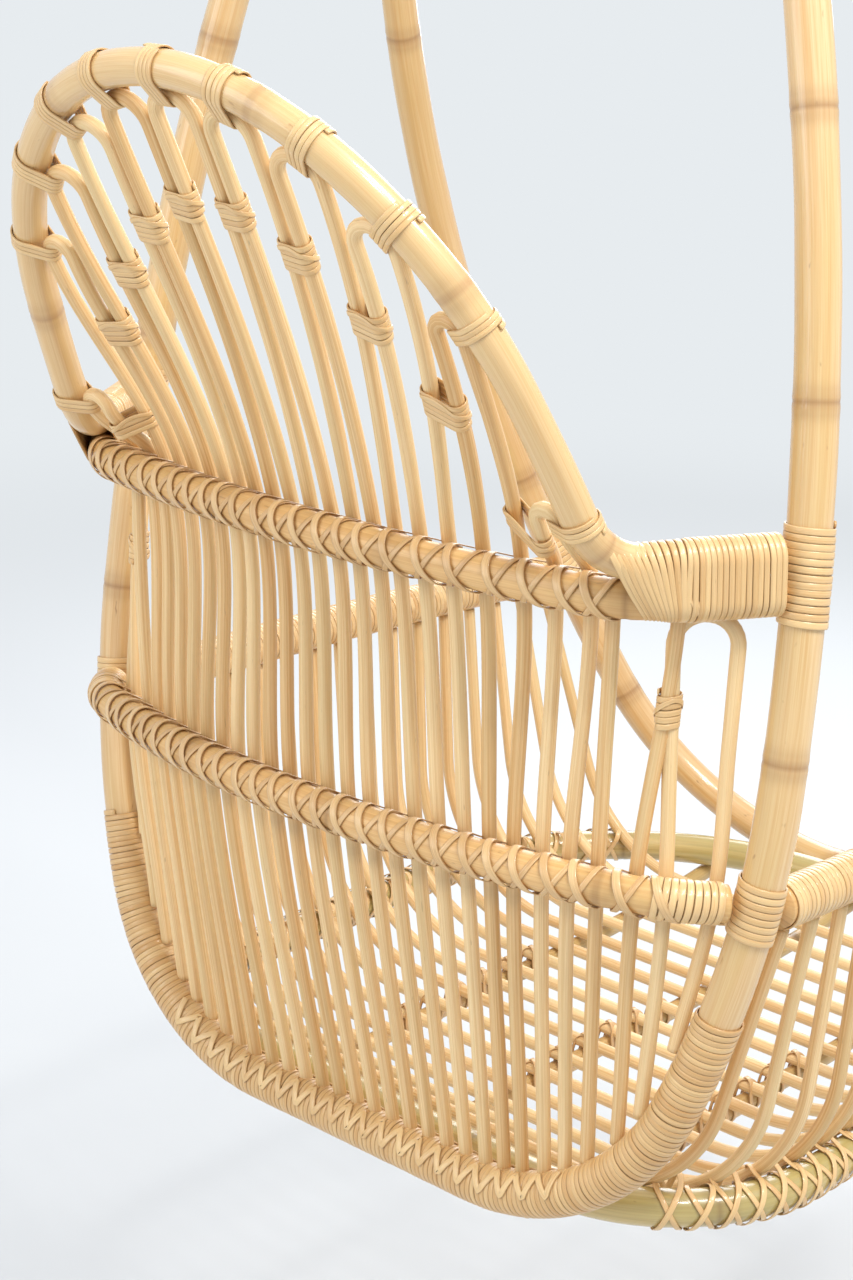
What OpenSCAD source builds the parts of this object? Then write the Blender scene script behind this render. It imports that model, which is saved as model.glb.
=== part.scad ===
// Hanging rattan egg chair: two bent hoops meet at the top and carry a basket of
// peeled cane spindles and seat rods. Millimetres, +Z up, the sitter faces -Y.
// The origin is the bore centre of the swivel eye that the chair hangs from.

/* [Hoops] */
// Diameter of the two hoop poles
pole_d = 32; // [26:1:38]
// Width of the rear hoop between pole centres
rear_hoop_w = 680; // [640:5:720]
// Height of both hoops from the rear bottom to the top, between pole centres
hoop_h = 1330; // [1270:5:1400]
// Lean of the rear hoop's plane from the vertical
rear_lean = 8; // [6:0.5:10]
// Width of the front hoop between pole centres
front_hoop_w = 757; // [720:5:780]
// Forward reach of the front hoop's bottom from the top
front_reach = 511; // [480:5:530]

/* [Back] */
// Diameter of the two back rails
rail_d = 27; // [22:1:30]
// Height of the lower rail's ends above the hoop bottom
lower_rail_z = 285; // [270:1:300]
// Height of the upper rail's ends above the hoop bottom
upper_rail_z = 505; // [490:1:520]
// Diameter of the back arch
arch_d = 26; // [22:1:28]
// Lean of the arch's plane from the vertical
arch_lean = 26; // [23:0.5:29]
// Diameter of the bent spindles and of the seat rods
spindle_d = 11; // [8:0.5:11.5]
// Spacing of the spindle legs along the lower rail
leg_pitch = 20.6; // [20:0.1:21]
// Share of the lower rail's spacing that the legs keep at the hoop bottom
leg_fan = 0.94; // [0.9:0.005:0.95]

/* [Seat] */
// Diameter of the arm rims
rim_d = 32; // [26:1:34]
// Height of the rims' rear ends above the hoop bottom
rim_rear_z = 277; // [270:1:285]
// Height of the rims' front ends above the hoop bottom
rim_front_z = 265; // [255:1:275]
// Outward bow of each rim
rim_bow = 12; // [4:1:20]
// Diameter of the base ring
ring_d = 30; // [24:1:32]
// Width of the base ring between pole centres
ring_w = 602; // [580:2:620]
// Number of bent seat rods
rod_count = 16; // [12:1:16]
// Bend radius of the seat rods
rod_bend = 140; // [110:5:150]
// Diameter of the three seat runners
runner_d = 16; // [12:1:20]
// Spacing of the seat runners
runner_gap = 150; // [130:5:150]

/* [Cane binding] */
// Thickness of a cane wrap
wrap_t = 2; // [1.4:0.1:2.4]
// Thickness of the crossed lashing on the rails
lash_t = 1.6; // [1.2:0.1:2]
// Width of the cane strip of the joint windings
strip_w = 4.9; // [4:0.1:5]
// Advance of a joint winding for each turn
strip_pitch = 5.6; // [5.5:0.05:5.8]
// Turns in each joint winding
strip_turns = 12; // [8:1:12]
// Length of an arch tie along the arch
tie_w = 16; // [10:1:18]
// Length of a band round two spindle legs
band_w = 26; // [18:1:30]
// Clear gap between bound pieces
gap = 0.35; // [0.3:0.05:0.4]

/* [Hanger] */
// Bore radius of the swivel eye
eye_bore_r = 12.5; // [10:0.5:14]
// Thickness of the swivel eye along its bore
eye_t = 10; // [8:1:14]
// Diameter of the swivel stem
stem_d = 12; // [10:0.5:14]
// Diameter of the clevis pin
pin_d = 10; // [8:0.5:12]
// Thickness of the bracket's plates
plate_t = 4; // [3:0.5:5]
// Length of the bracket along the hoops
bracket_l = 44; // [36:1:46]
// Diameter of the through bolt
bolt_d = 8; // [6:1:10]
// Radial running clearance of the pin and the stem
run_fit = 0.05; // [0.03:0.01:0.09]
// Tilt of the chair on its pin as it hangs level
hang_tilt = 0.73; // [-6:0.01:6]

/* [Hidden] */

// Hoop outlines: half the flat bottom, corner radius, corner turn, turn to the top arc
rear_shape = [115, 190, 68, 118];
front_shape = [37, 259, 68, 119];
top_flat = 26;                       // half the straight run at the top of each hoop
// Rail outlines: middle radius, middle turn, end radius, end heading
upper_shape = [1150, 12, 80, 59];
lower_shape = [727, 21.5, 107, 52.5];
lower_rail_tilt = 7;
// Arch outline from the middle: three radii and turns, then a straight run and the flare radius
arch_shape = [[207.4, 36], [294.5, 41.3], [1314.6, 3.95]];
arch_run = 40;
flare_r = 58;
// Ring outline: rear corner radius and half the straight run at the front
ring_corner = 150;
ring_front_flat = 20;
// Top centres of the spindles across the arch and half their widths
crest_u = [0, 49.6, 99.5, 148, 190, 225];
crest_w = [19, 19, 19, 18, 12.5, 10.5];
// The legs' shift to the left at the middle of the upper rail
leg_drift = 30;
// Places of the legs on the lower and the upper rail, counted in spacings from the middle
low_n = [0.5, 1.5, 2.5, 3.5, 4.5, 5.5, 6.55, 7.5, 8.4, 9.45, 10.4, 11.4, 12.65, 13.55, 14.7];
up_n = [0.5, 1.5, 2.5, 3.4, 4.3, 5.3, 6.4, 7.6, 8.9, 9.9, 11, 11.75, 13.3];
end_crest_w = 17;                    // half width of the outermost hairpin's top
front_rod_y = -388;
rear_rod_y = 132;
knot_t = 1.5;
node_cut = 0.05;                     // a length stops this far short of the node it shares

// ---- Vectors and paths -------------------------------------------------------------
function unit(v) = v / norm(v);
function lerp(a, b, t) = a + (b - a) * t;
// A frame is [point, heading, side]; a bend turns the heading toward the side.
function turned(F, t) = [F[0], F[1], F[2] * cos(t) + cross(F[1], F[2]) * sin(t)];
function roll(m) = m[2] == undef ? 0 : m[2];
function step_end(F, m) = let (G = turned(F, roll(m)))
  m[0] == 0 ? [G[0] + G[1] * m[1], G[1], G[2]]
  : [G[0] + m[0] * (G[2] * (1 - cos(m[1])) + G[1] * sin(m[1])),
     G[1] * cos(m[1]) + G[2] * sin(m[1]), G[2] * cos(m[1]) - G[1] * sin(m[1])];
// The same frame and the same moves on the other side of the middle plane
function across(F) = [for (v = F) [-v[0], v[1], v[2]]];
function across_moves(mv) = [for (m = mv) [m[0], m[1], -roll(m)]];
function frames(F, mv, i = 0) = i == len(mv) ? [F] : concat([F], frames(step_end(F, mv[i]), mv, i + 1));
function run_len(m) = m[0] == 0 ? m[1] : m[0] * m[1] * PI / 180;
function part_of(m, s) = m[0] == 0 ? [0, s, roll(m)] : [m[0], s / m[0] * 180 / PI, roll(m)];
// The frame at distance s along a path, and the moves of a path between two distances
function walk(F, mv, s, i = 0) = i == len(mv) - 1 || s <= run_len(mv[i]) ? step_end(F, part_of(mv[i], s))
  : walk(step_end(F, mv[i]), mv, s - run_len(mv[i]), i + 1);
function starts(mv, i = 0, s = 0) = i == len(mv) ? [] : concat([s], starts(mv, i + 1, s + run_len(mv[i])));
function total(mv) = let (n = len(mv)) starts(mv)[n - 1] + run_len(mv[n - 1]);
function between(mv, a, b) = let (st = starts(mv)) [for (i = [0:len(mv) - 1])
  let (lo = max(a, st[i]), hi = min(b, st[i] + run_len(mv[i]))) if (hi > lo + 0.01)
  let (m = part_of(mv[i], hi - lo)) [m[0], m[1], lo > st[i] ? 0 : roll(mv[i])]];

module at_frame(F) {
  h = F[1]; l = F[2]; z = cross(h, l);
  multmatrix([[h[0], l[0], z[0], F[0][0]], [h[1], l[1], z[1], F[0][1]], [h[2], l[2], z[2], F[0][2]],
      [0, 0, 0, 1]]) children();
}
module both_sides() { children(); mirror([1, 0, 0]) children(); }
// One straight or bent length, drawn from a to b short of its ends
module run(m, d, a, b)
  if (m[0] == 0) translate([a, 0, 0]) rotate([0, 90, 0]) cylinder(d = d, h = m[1] - a - b, $fn = 48);
  else translate([0, m[0], 0]) rotate([0, 0, -90 + a / m[0] * 180 / PI])
    rotate_extrude(angle = m[1] - (a + b) / m[0] * 180 / PI, $fn = 96) translate([m[0], 0]) circle(d = d,
        $fn = 48);
// A cane node, its poles on the heading
module cane_node(F, d) at_frame(F) rotate([0, 90, 0]) sphere(d = d, $fn = 48);
// A bent pole; a slight cane node swells it where two bends meet. A joined end stops in the node it shares.
module pole(F, mv, d, swell = 0.8, join_a = false, join_b = false) {
  fs = frames(F, mv);
  n = len(mv) - 1;
  for (i = [0:n]) at_frame(turned(fs[i], roll(mv[i])))
    run(mv[i], d, i > 0 || join_a ? node_cut : 0, i < n || join_b ? node_cut : 0);
  if (n > 0) for (i = [1:n]) cane_node(fs[i], d + swell);
}
// The same path on both sides of the middle plane, joined in the middle and, if closed, at its end
module twin_pole(F, mv, d, swell = 0.8, closed = false) {
  pole(F, mv, d, swell, true, closed);
  pole(across(F), across_moves(mv), d, swell, true, closed);
  cane_node(F, d + swell);
  if (closed) cane_node(walk(F, mv, total(mv)), d + swell);
}
// A cane wrap round a pole between two distances along it
module sleeve(F, mv, a, b, d, t) {
  G = walk(F, mv, a);
  cut = between(mv, a, b);
  difference() { pole(G, cut, d + 2 * gap + 2 * t); pole(G, cut, d + 2 * gap + 0.3, 0.9); }
}

// ---- Where the main poles run --------------------------------------------------------
wrap_r = pole_d / 2 + gap + wrap_t;
rear_y = pole_d / 2 + gap / 2 + hoop_h * tan(rear_lean);
rear_half = hoop_h / cos(rear_lean);
front_lean = atan((front_reach - pole_d / 2 - gap / 2) / hoop_h);
front_half = hoop_h / cos(front_lean);
// Moves of half a hoop: flat, corner, lower side, upper side, top arc, top flat
function hoop_side_r(sh, w) = (w - sh[0] - sh[1] * sin(sh[2])) / (1 - sin(sh[2]));
function hoop_belly(sh, w) = sh[1] * (1 - cos(sh[2])) + hoop_side_r(sh, w) * cos(sh[2]);
function hoop_moves(sh, w, h) = let (r1 = hoop_side_r(sh, w), z1 = hoop_belly(sh, w), s = sin(sh[3]),
    c = -cos(sh[3]),
  r2 = (h - z1 - (1 - c) * (w - top_flat) / s) / (c - (1 - c) * (1 - s) / s),
      r3 = (w - top_flat - r2 * (1 - s)) / s)
  [[0, sh[0]], [sh[1], sh[2]], [r1, 90 - sh[2]], [r2, sh[3] - 90], [r3, 180 - sh[3]], [0, top_flat]];
function hoop_x(sh, w, h, v) = let (z1 = hoop_belly(sh, w), r = v < z1 ? hoop_side_r(sh, w)
    : hoop_moves(sh, w, h)[3][0])
  v < sh[1] * (1 - cos(sh[2])) ? sh[0] + sqrt(pow(sh[1], 2) - pow(sh[1] - v, 2))
      : w - r + sqrt(r * r - pow(v - z1, 2));
rear_F = [[0, rear_y, 0], [1, 0, 0], [0, -sin(rear_lean), cos(rear_lean)]];
front_F = [[0, -front_reach, 0], [1, 0, 0], [0, sin(front_lean), cos(front_lean)]];
rear_mv = hoop_moves(rear_shape, rear_hoop_w / 2, rear_half);
front_mv = hoop_moves(front_shape, front_hoop_w / 2, front_half);
function rear_at(z) = [hoop_x(rear_shape, rear_hoop_w / 2, rear_half, z / cos(rear_lean)),
    rear_y - z * tan(rear_lean), z];
function front_at(z) = [hoop_x(front_shape, front_hoop_w / 2, front_half, z / cos(front_lean)),
    -front_reach + z * tan(front_lean), z];
// Distance along the half hoop at which it passes a height, found by halving
function reach_z(F, mv, z, lo, hi, n = 18) = n == 0 ? (lo + hi) / 2
  : let (mid = (lo + hi) / 2) walk(F, mv, mid)[0][2] < z ? reach_z(F, mv, z, mid, hi, n - 1)
      : reach_z(F, mv, z, lo, mid, n - 1);

// A rail ends against the wrapped upright; its straight end run closes the outline.
butt = wrap_r + gap;
lower_rail_clear = 4;
upper_rail_clear = 1.2;
// A rail's flat end keeps a little further from the leaning upright, most where the rail slopes.
function rail_butt(sh) = butt + (sh == lower_shape ? lower_rail_clear : upper_rail_clear);
function rail_run(sh, U) = (U[0] - rail_butt(sh) * cos(sh[3]) - sh[0] * sin(sh[1])
    - sh[2] * (sin(sh[3]) - sin(sh[1]))) / cos(sh[3]);
function rail_depth(sh, U) = sh[0] * (1 - cos(sh[1])) + sh[2] * (cos(sh[1]) - cos(sh[3]))
    + (rail_run(sh, U) + rail_butt(sh)) * sin(sh[3]);
function rail_moves(sh, U) = [[sh[0], sh[1]], [sh[2], sh[3] - sh[1]], [0, rail_run(sh, U)]];
function rail_frame(sh, U, t) = [[0, U[1] + rail_depth(sh, U) * cos(t),
    U[2] + rail_depth(sh, U) * sin(t)], [1, 0, 0], [0, -cos(t), -sin(t)]];
upper_U = rear_at(upper_rail_z);
lower_U = rear_at(lower_rail_z);
upper_F = rail_frame(upper_shape, upper_U, 0);
lower_F = rail_frame(lower_shape, lower_U, lower_rail_tilt);
upper_mv = rail_moves(upper_shape, upper_U);
lower_mv = rail_moves(lower_shape, lower_U);
// Depth of a rail, moved inward by off, at half width x
function rail_v(sh, x, off) = x < (sh[0] - off) * sin(sh[1]) ? sh[0] - sqrt(pow(sh[0] - off, 2) - x * x)
  : let (cx = (sh[0] - sh[2]) * sin(sh[1]), cv = sh[0] - (sh[0] - sh[2]) * cos(sh[1]),
      ex = cx + (sh[2] - off) * sin(sh[3]))
    x < ex ? cv - sqrt(pow(sh[2] - off, 2) - pow(x - cx, 2)) : cv - (sh[2] - off) * cos(sh[3])
        + (x - ex) * tan(sh[3]);

// The arch ends lie on the upper rail's end runs.
stack = (rail_d + arch_d) / 2 + gap;
end_dir = [cos(upper_shape[3]), -sin(upper_shape[3]), 0];
arch_turn = arch_shape[0][1] + arch_shape[1][1] + arch_shape[2][1];
a_turn1 = arch_shape[0][1] + arch_shape[1][1];
arch_x = arch_shape[0][0] * sin(arch_shape[0][1]) + arch_shape[1][0] * (sin(a_turn1)
    - sin(arch_shape[0][1]))
  + arch_shape[2][0] * (sin(arch_turn) - sin(a_turn1)) + arch_run * cos(arch_turn);
arch_v = arch_shape[0][0] * (1 - cos(arch_shape[0][1])) + arch_shape[1][0] * (cos(arch_shape[0][1])
    - cos(a_turn1))
  + arch_shape[2][0] * (cos(a_turn1) - cos(arch_turn)) + arch_run * sin(arch_turn);
arch_end = rear_at(upper_rail_z) + [0, 0, stack] - end_dir * (butt + 1);
arch_back = (arch_end[0] - arch_x) / cos(upper_shape[3]);
arch_knee = arch_end - end_dir * arch_back;
arch_down = [0, -sin(arch_lean), -cos(arch_lean)];
arch_F = [arch_knee - arch_down * arch_v - [arch_x, 0, 0], [1, 0, 0], arch_down];
arch_d0 = [cos(arch_turn), 0, 0] + arch_down * sin(arch_turn);
arch_l0 = arch_down * cos(arch_turn) - [sin(arch_turn), 0, 0];
flare_turn = acos(arch_d0 * end_dir);
flare_l = unit(end_dir - arch_d0 * (arch_d0 * end_dir));
flare_roll = atan2(cross(arch_d0, arch_l0) * flare_l, arch_l0 * flare_l);
flare_t = flare_r * tan(flare_turn / 2);
arch_mv = concat(arch_shape, [[0, arch_run - flare_t], [flare_r, flare_turn, flare_roll],
    [0, arch_back - flare_t]]);
function arch_point(u, v) = arch_F[0] + [u, 0, 0] + arch_down * v;
// Depth of the arch, moved inward by off, at half width u
function arch_in(u, off) = let (r = arch_shape, c1x = (r[0][0] - r[1][0]) * sin(r[0][1]),
    c1v = r[0][0] - (r[0][0] - r[1][0]) * cos(r[0][1]),
  c2x = c1x + (r[1][0] - r[2][0]) * sin(a_turn1), c2v = c1v - (r[1][0] - r[2][0]) * cos(a_turn1))
  u < (r[0][0] - off) * sin(r[0][1]) ? [r[0][0] - sqrt(pow(r[0][0] - off, 2) - u * u),
      asin(u / (r[0][0] - off))]
  : u < c1x + (r[1][0] - off) * sin(a_turn1) ? [c1v - sqrt(pow(r[1][0] - off, 2) - pow(u - c1x, 2)),
      asin((u - c1x) / (r[1][0] - off))]
  : [c2v - sqrt(pow(r[2][0] - off, 2) - pow(u - c2x, 2)), asin((u - c2x) / (r[2][0] - off))];

// Rims run from the wrapped rear uprights to the wrapped front uprights.
rim_a = rear_at(rim_rear_z);
rim_b = front_at(rim_front_z);
rim_c = norm(rim_b - rim_a);
rim_R = (rim_c * rim_c / 4 + rim_bow * rim_bow) / (2 * rim_bow);
rim_turn = 2 * asin(rim_c / 2 / rim_R);
rim_h = unit(rim_b - rim_a);
rim_side = unit(cross([0, 0, 1], rim_h)) * -1;
rim_F0 = [rim_a, rim_h * cos(rim_turn / 2) - rim_side * sin(rim_turn / 2), rim_side * cos(rim_turn / 2)
    + rim_h * sin(rim_turn / 2)];
// A rim's end keeps clear of the leaning wrapped pole that it butts against.
function rim_trim(lean) = ((butt + rim_d / 2 * sin(lean)) / cos(lean) + gap) / rim_R * 180 / PI;
rim_F = step_end(rim_F0, [rim_R, rim_trim(rear_lean)]);
rim_mv = [[rim_R, rim_turn - rim_trim(rear_lean) - rim_trim(front_lean)]];
function rim_at(y) = let (t = (y - rim_a[1]) / (rim_b[1] - rim_a[1])) lerp(rim_a, rim_b, t)
    + [rim_bow * 4 * t * (1 - t), 0, 0];

// The base ring lies between the two hoop bottoms.
ring_rear_y = rear_y - wrap_r - ring_d / 2 - gap;
ring_front_y = -front_reach + pole_d / 2 + ring_d / 2 + gap;
ring_front_r = ring_w / 2 - ring_front_flat;
ring_side = ring_rear_y - ring_front_y - ring_corner - ring_front_r;
ring_F = [[0, ring_rear_y, 0], [1, 0, 0], [0, -1, 0]];
ring_mv = [[0, ring_w / 2 - ring_corner], [ring_corner, 90], [0, ring_side], [ring_front_r, 90],
    [0, ring_front_flat]];
ring_cy = ring_rear_y - ring_corner;
ring_fy = ring_front_y + ring_front_r;
// Half width of the ring at y, moved inward by off, and the cosine of its slant there
function ring_half(y, off) = y > ring_cy ? [ring_w / 2 - ring_corner + sqrt(pow(ring_corner - off, 2)
    - pow(y - ring_cy, 2)), sqrt(1 - pow((y - ring_cy) / (ring_corner - off), 2))]
  : y < ring_fy ? [ring_front_flat + sqrt(pow(ring_front_r - off, 2) - pow(y - ring_fy, 2)),
      sqrt(1 - pow((y - ring_fy) / (ring_front_r - off), 2))]
  : [ring_w / 2 - off, 1];

// A seat rod hugs the ring's inner top and rises to the rims.
rod_off = ((ring_d + spindle_d) / 2 + gap) * sqrt(0.5);
function rod_y(i) = lerp(rear_rod_y, front_rod_y, i / (rod_count - 1));
function rod_spec(y) = let (w = ring_half(y, rod_off), f = atan(w[1]),
    zs = rod_off - rod_bend * (1 - cos(f)), a = w[0] - rod_bend * sin(f),
  T = rim_at(y) - [0, 0, rim_d / 2 + gap + wrap_t + gap + 0.3], dx = T[0] - a, dz = T[2] - zs - rod_bend,
      L = sqrt(dx * dx + dz * dz - rod_bend * rod_bend))
  [zs, a, atan2(dz, dx) + 90 - atan2(L, rod_bend), L];
module seat_rod(y) {
  s = rod_spec(y);
  twin_pole([[0, y, s[0]], [1, 0, 0], [0, 0, 1]], [[0, s[1]], [rod_bend, s[2]], [0, s[3]]], spindle_d);
}
seat_z = rod_spec(ring_cy - 20)[0];
runner_z = seat_z - (spindle_d + runner_d) / 2 - gap;
runner_end_z = -(ring_d + runner_d) / 2 - gap;
function runner_arc(run) = let (rise = runner_end_z - runner_z,
    r = (run * run + rise * rise) / (2 * rise)) [r, asin(run / r)];
module seat_runner(x) {
  front_y_end = ring_fy - sqrt(pow(ring_front_r, 2) - pow(max(0, abs(x) - ring_front_flat), 2));
  rear_run = runner_arc(ring_rear_y - ring_cy + 8);
  front_run = runner_arc(ring_fy - front_y_end + 8);
  mid = (ring_cy + ring_fy) / 2;
  pole([[x, mid, runner_z], [0, 1, 0], [0, 0, 1]], [[0, ring_cy - mid], rear_run], runner_d, 0.8, true);
  pole([[x, mid, runner_z], [0, -1, 0], [0, 0, 1]], [[0, mid - ring_fy], front_run], runner_d, 0.8, true);
  cane_node([[x, mid, runner_z], [0, 1, 0], [0, 0, 1]], runner_d + 0.8);
}

// ---- Spindles ------------------------------------------------------------------------
// Hairpin k has an inner leg, s = -1, and an outer leg, s = 1; the middle one has both beside the middle.
function leg_no(k, s) = k == 0 ? 0 : 2 * k - (s < 0 ? 1 : 0);
leg_off = rail_d / 2 + gap + lash_t + gap + spindle_d / 2 + 0.3;
// The legs lean back past the upper rail, the fifth hairpin's most of all.
function up_off(k) = leg_off + (k == 5 ? 5 : k == 4 ? 2.4 : 1.6);
function low_x(k, s) = leg_pitch * low_n[leg_no(k, s)] * (k == 0 ? s : 1);
function low_pt(k, s) = let (x = low_x(k, s), v = rail_v(lower_shape, abs(x), leg_off)) lower_F[0] + [x,
    0, 0] + lower_F[2] * v;
// On the right half, m = -1, the shift to the left runs toward the middle.
function up_x(k, s, m) = let (x = leg_pitch * up_n[leg_no(k, s)] * (k == 0 ? s : 1))
  x + m * leg_drift * max(0, 1 - pow(x / 250, 2));
function top_u(k, s) = k <= 5 ? crest_u[k] + s * crest_w[k] : k == 6 ? up_x(6, s, 1)
  : (low_x(7, -1) + low_x(7, 1)) / 2 - 4 + s * end_crest_w;
function up_pt(k, s, m) = let (x = up_x(k, s, m), v = rail_v(upper_shape, abs(x), up_off(k))) upper_F[0]
    + [x, 0, 0] + upper_F[2] * v;
function crest_off(k) = (arch_d + spindle_d) / 2 + gap + crest_w[k];
function crest_v(k) = arch_in(crest_u[k], crest_off(k))[0];
// Shoulder points, where a leg meets its half-round top
function shoulder(k, s) = k <= 5 ? arch_point(top_u(k, s), crest_v(k)) : k == 6 ? up_pt(6, s, 1) + [0, 0, 6]
  : [top_u(7, s), up_pt(6, 1, 1)[1] - 14 - 14 * s, upper_rail_z - rail_d / 2 - wrap_t - spindle_d / 2
      - end_crest_w - 2];
function crest_pt(k, q) = let (a = shoulder(k, -1), b = shoulder(k, 1), m = (a + b) / 2,
    w = norm(b - a) / 2, e = unit(b - a),
  up = k <= 5 ? -arch_down : [0, 0, 1]) m + e * (w * -cos(q)) + up * (w * sin(q));
// Height in the rear hoop's plane of its outline moved inward by off, and the outline's slope there
function hoop_in(ax, off) = let (sh = rear_shape, w = rear_hoop_w / 2, r = hoop_side_r(sh, w),
    z1 = hoop_belly(sh, w))
  ax < sh[0] ? [off, 0]
  : ax < sh[0] + (sh[1] - off) * sin(sh[2]) ? [sh[1] - sqrt(pow(sh[1] - off, 2) - pow(ax - sh[0], 2)),
      asin((ax - sh[0]) / (sh[1] - off))]
  : [z1 - sqrt(pow(r - off, 2) - pow(ax - w + r, 2)), asin((ax - w + r) / (r - off))];
// The foot stands on the hoop's bottom wrap.
function foot(k, s) = let (L = low_pt(k, s), x = L[0] * leg_fan,
    h = hoop_in(abs(x), wrap_r + gap + spindle_d / 2),
  P = rear_F[0] + [x, 0, 0] + rear_F[2] * h[0], n = [-sin(h[1]) * sign(x), 0, 0] + rear_F[2] * cos(h[1]),
      c = unit(L - P) * n)
  rear_F[0] + [x, 0, 0] + rear_F[2] * hoop_in(abs(x), wrap_r + gap + spindle_d / 2 * sqrt(1 - c * c))[0];
function slope(a, b, c) = let (h1 = b[2] - a[2], h2 = c[2] - b[2])
  (h2 * (b - a) / h1 + h1 * (c - b) / h2) / (h1 + h2);
function herm(a, b, ma, mb, z) = let (h = b[2] - a[2], t = (z - a[2]) / h)
  a * (2 * t * t * t - 3 * t * t + 1) + b * (3 * t * t - 2 * t * t * t)
  + ma * h * (t * t * t - 2 * t * t + t) + mb * h * (t * t * t - t * t);
function leg_pts(k, s, m) = let (p0 = foot(k, s), p1 = low_pt(k, s), p3 = shoulder(k, s),
  p2 = k < 7 ? up_pt(k, s, m) : lerp(p1, p3, 0.6),
  m0 = (p1 - p0) / (p1[2] - p0[2]), m1 = slope(p0, p1, p2),
  m2 = k < 6 ? (p3 - p1) / (p3[2] - p1[2]) : k == 6 ? [0, 0, 1] : slope(p1, p2, p3),
  m3 = k <= 5 ? arch_down / arch_down[2] : (p3 - p2) / (p3[2] - p2[2])) [p0, p1, p2, p3, m0, m1, m2, m3];
function leg_at(k, s, z, m) = let (L = leg_pts(k, s, m)) z < L[1][2] ? herm(L[0], L[1], L[4], L[5], z)
  : z < L[2][2] ? herm(L[1], L[2], L[5], L[6], z) : herm(L[2], L[3], L[6], L[7], z);
function leg_run(k, s, m) = let (L = leg_pts(k, s, m), z = [L[0][2], L[1][2], L[2][2], L[3][2]])
  [for (i = [0:2]) for (j = [0:(i == 2 ? 3 : 2)]) leg_at(k, s, lerp(z[i], z[i + 1], j / (i == 2 ? 4 : 3)),
      m)];
function hairpin_path(k, m) = let (a = leg_run(k, -1, m), b = leg_run(k, 1, m))
  concat(a, [for (q = [0:30:180]) crest_pt(k, q)], [for (i = [len(b) - 1:-1:0]) b[i]]);
// A closed tube of n sides swept along points, its first side turned to ref
module tube(pts, rx, ry, ref, n = 6, turn = 0) {
  m = len(pts);
  tan_at = [for (i = [0:m - 1]) unit(pts[min(m - 1, i + 1)] - pts[max(0, i - 1)])];
  rings = [for (i = [0:m - 1]) let (t = tan_at[i], a = unit(cross(t, is_list(ref[0]) ? ref[i] : ref)),
      b = cross(a, t))
    for (j = [0:n - 1]) pts[i] + a * (rx * cos(360 * j / n + turn)) + b * (ry * sin(360 * j / n + turn))];
  sides = [for (i = [0:m - 2]) for (j = [0:n - 1]) let (p = i * n + j, q = i * n + (j + 1) % n)
    each [[p, q, q + n], [p, q + n, p + n]]];
  ends = [for (j = [1:n - 2]) each [[0, j + 1, j], [(m - 1) * n, (m - 1) * n + j, (m - 1) * n + j + 1]]];
  polyhedron(points = rings, faces = concat(sides, ends));
}
module hairpin(k, m) tube(hairpin_path(k, m), spindle_d / 2, spindle_d / 2, [0, 1, 0]);

// ---- Cane binding ----------------------------------------------------------------------
// A band's outline round two circles a distance apart, its sides a seam inside their tangents
seam = 0.05;
module ring_2d(r1, r2, d) {
  q = acos((r1 - r2) / d);
  circle(r = r1, $fn = 48);
  translate([d, 0]) circle(r = r2, $fn = 48);
  a = (r1 - seam) * [cos(q), sin(q)];
  b = (r2 - seam) * [cos(q), sin(q)] + [d, 0];
  polygon([a, b, [b[0], -b[1]], [a[0], -a[1]]]);
}
module band(r1, r2, d, w, t) translate([0, 0, -w / 2]) linear_extrude(w)
  difference() { ring_2d(r1 + t, r2 + t, d); ring_2d(r1, r2, d); }
// Frame with its local x along a and its local z along w
module on_axes(p, a, w) { b = cross(w, a); multmatrix([[a[0], b[0], w[0], p[0]], [a[1], b[1], w[1], p[1]],
    [a[2], b[2], w[2], p[2]], [0, 0, 0, 1]]) children(); }
module arch_tie(k) {
  A = arch_in(crest_u[k], crest_off(k))[1];
  c = arch_point(crest_u[k], crest_v(k));
  inward = arch_down * cos(A) - [sin(A), 0, 0];
  along = [cos(A), 0, 0] + arch_down * sin(A);
  d = (arch_d + spindle_d) / 2 + gap;
  on_axes(c - inward * crest_off(k), inward, along) band(arch_d / 2 + 2 * gap + 0.1,
      spindle_d / 2 + gap + 1, d + 1.4, min(tie_w, 0.8 * crest_w[k]), wrap_t);
}
// A band's height up the legs, below the lower of the two tops
function band_z(k) = min(shoulder(k, 1)[2], shoulder(k + 1, -1)[2]) - (k == 6 ? 45 : k == 4 ? 7 : 52);
module leg_band(k, m) {
  z = band_z(k);
  a = leg_at(k, 1, z, m);
  b = leg_at(k + 1, -1, z, m);
  up = unit(leg_at(k, 1, z + 5, m) + leg_at(k + 1, -1, z + 5, m) - a - b);
  e = unit((b - a) - up * ((b - a) * up));
  r = spindle_d / 2 + (k == 4 ? 8.6 : 4.6) * gap;
  on_axes(a, e, up) band(r, r, norm(b - a), k == 4 ? 0.5 * band_w : band_w, wrap_t);
}
banded = [0, 1, 2, 3, 4, 6];            // hairpins bound to the next one out
// A joint winding is one flat strip round the rail's and the arch's end runs.
wind_in = rail_d / 2 + 2 * gap;
wind_mid = wind_in + wrap_t / 2;
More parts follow.
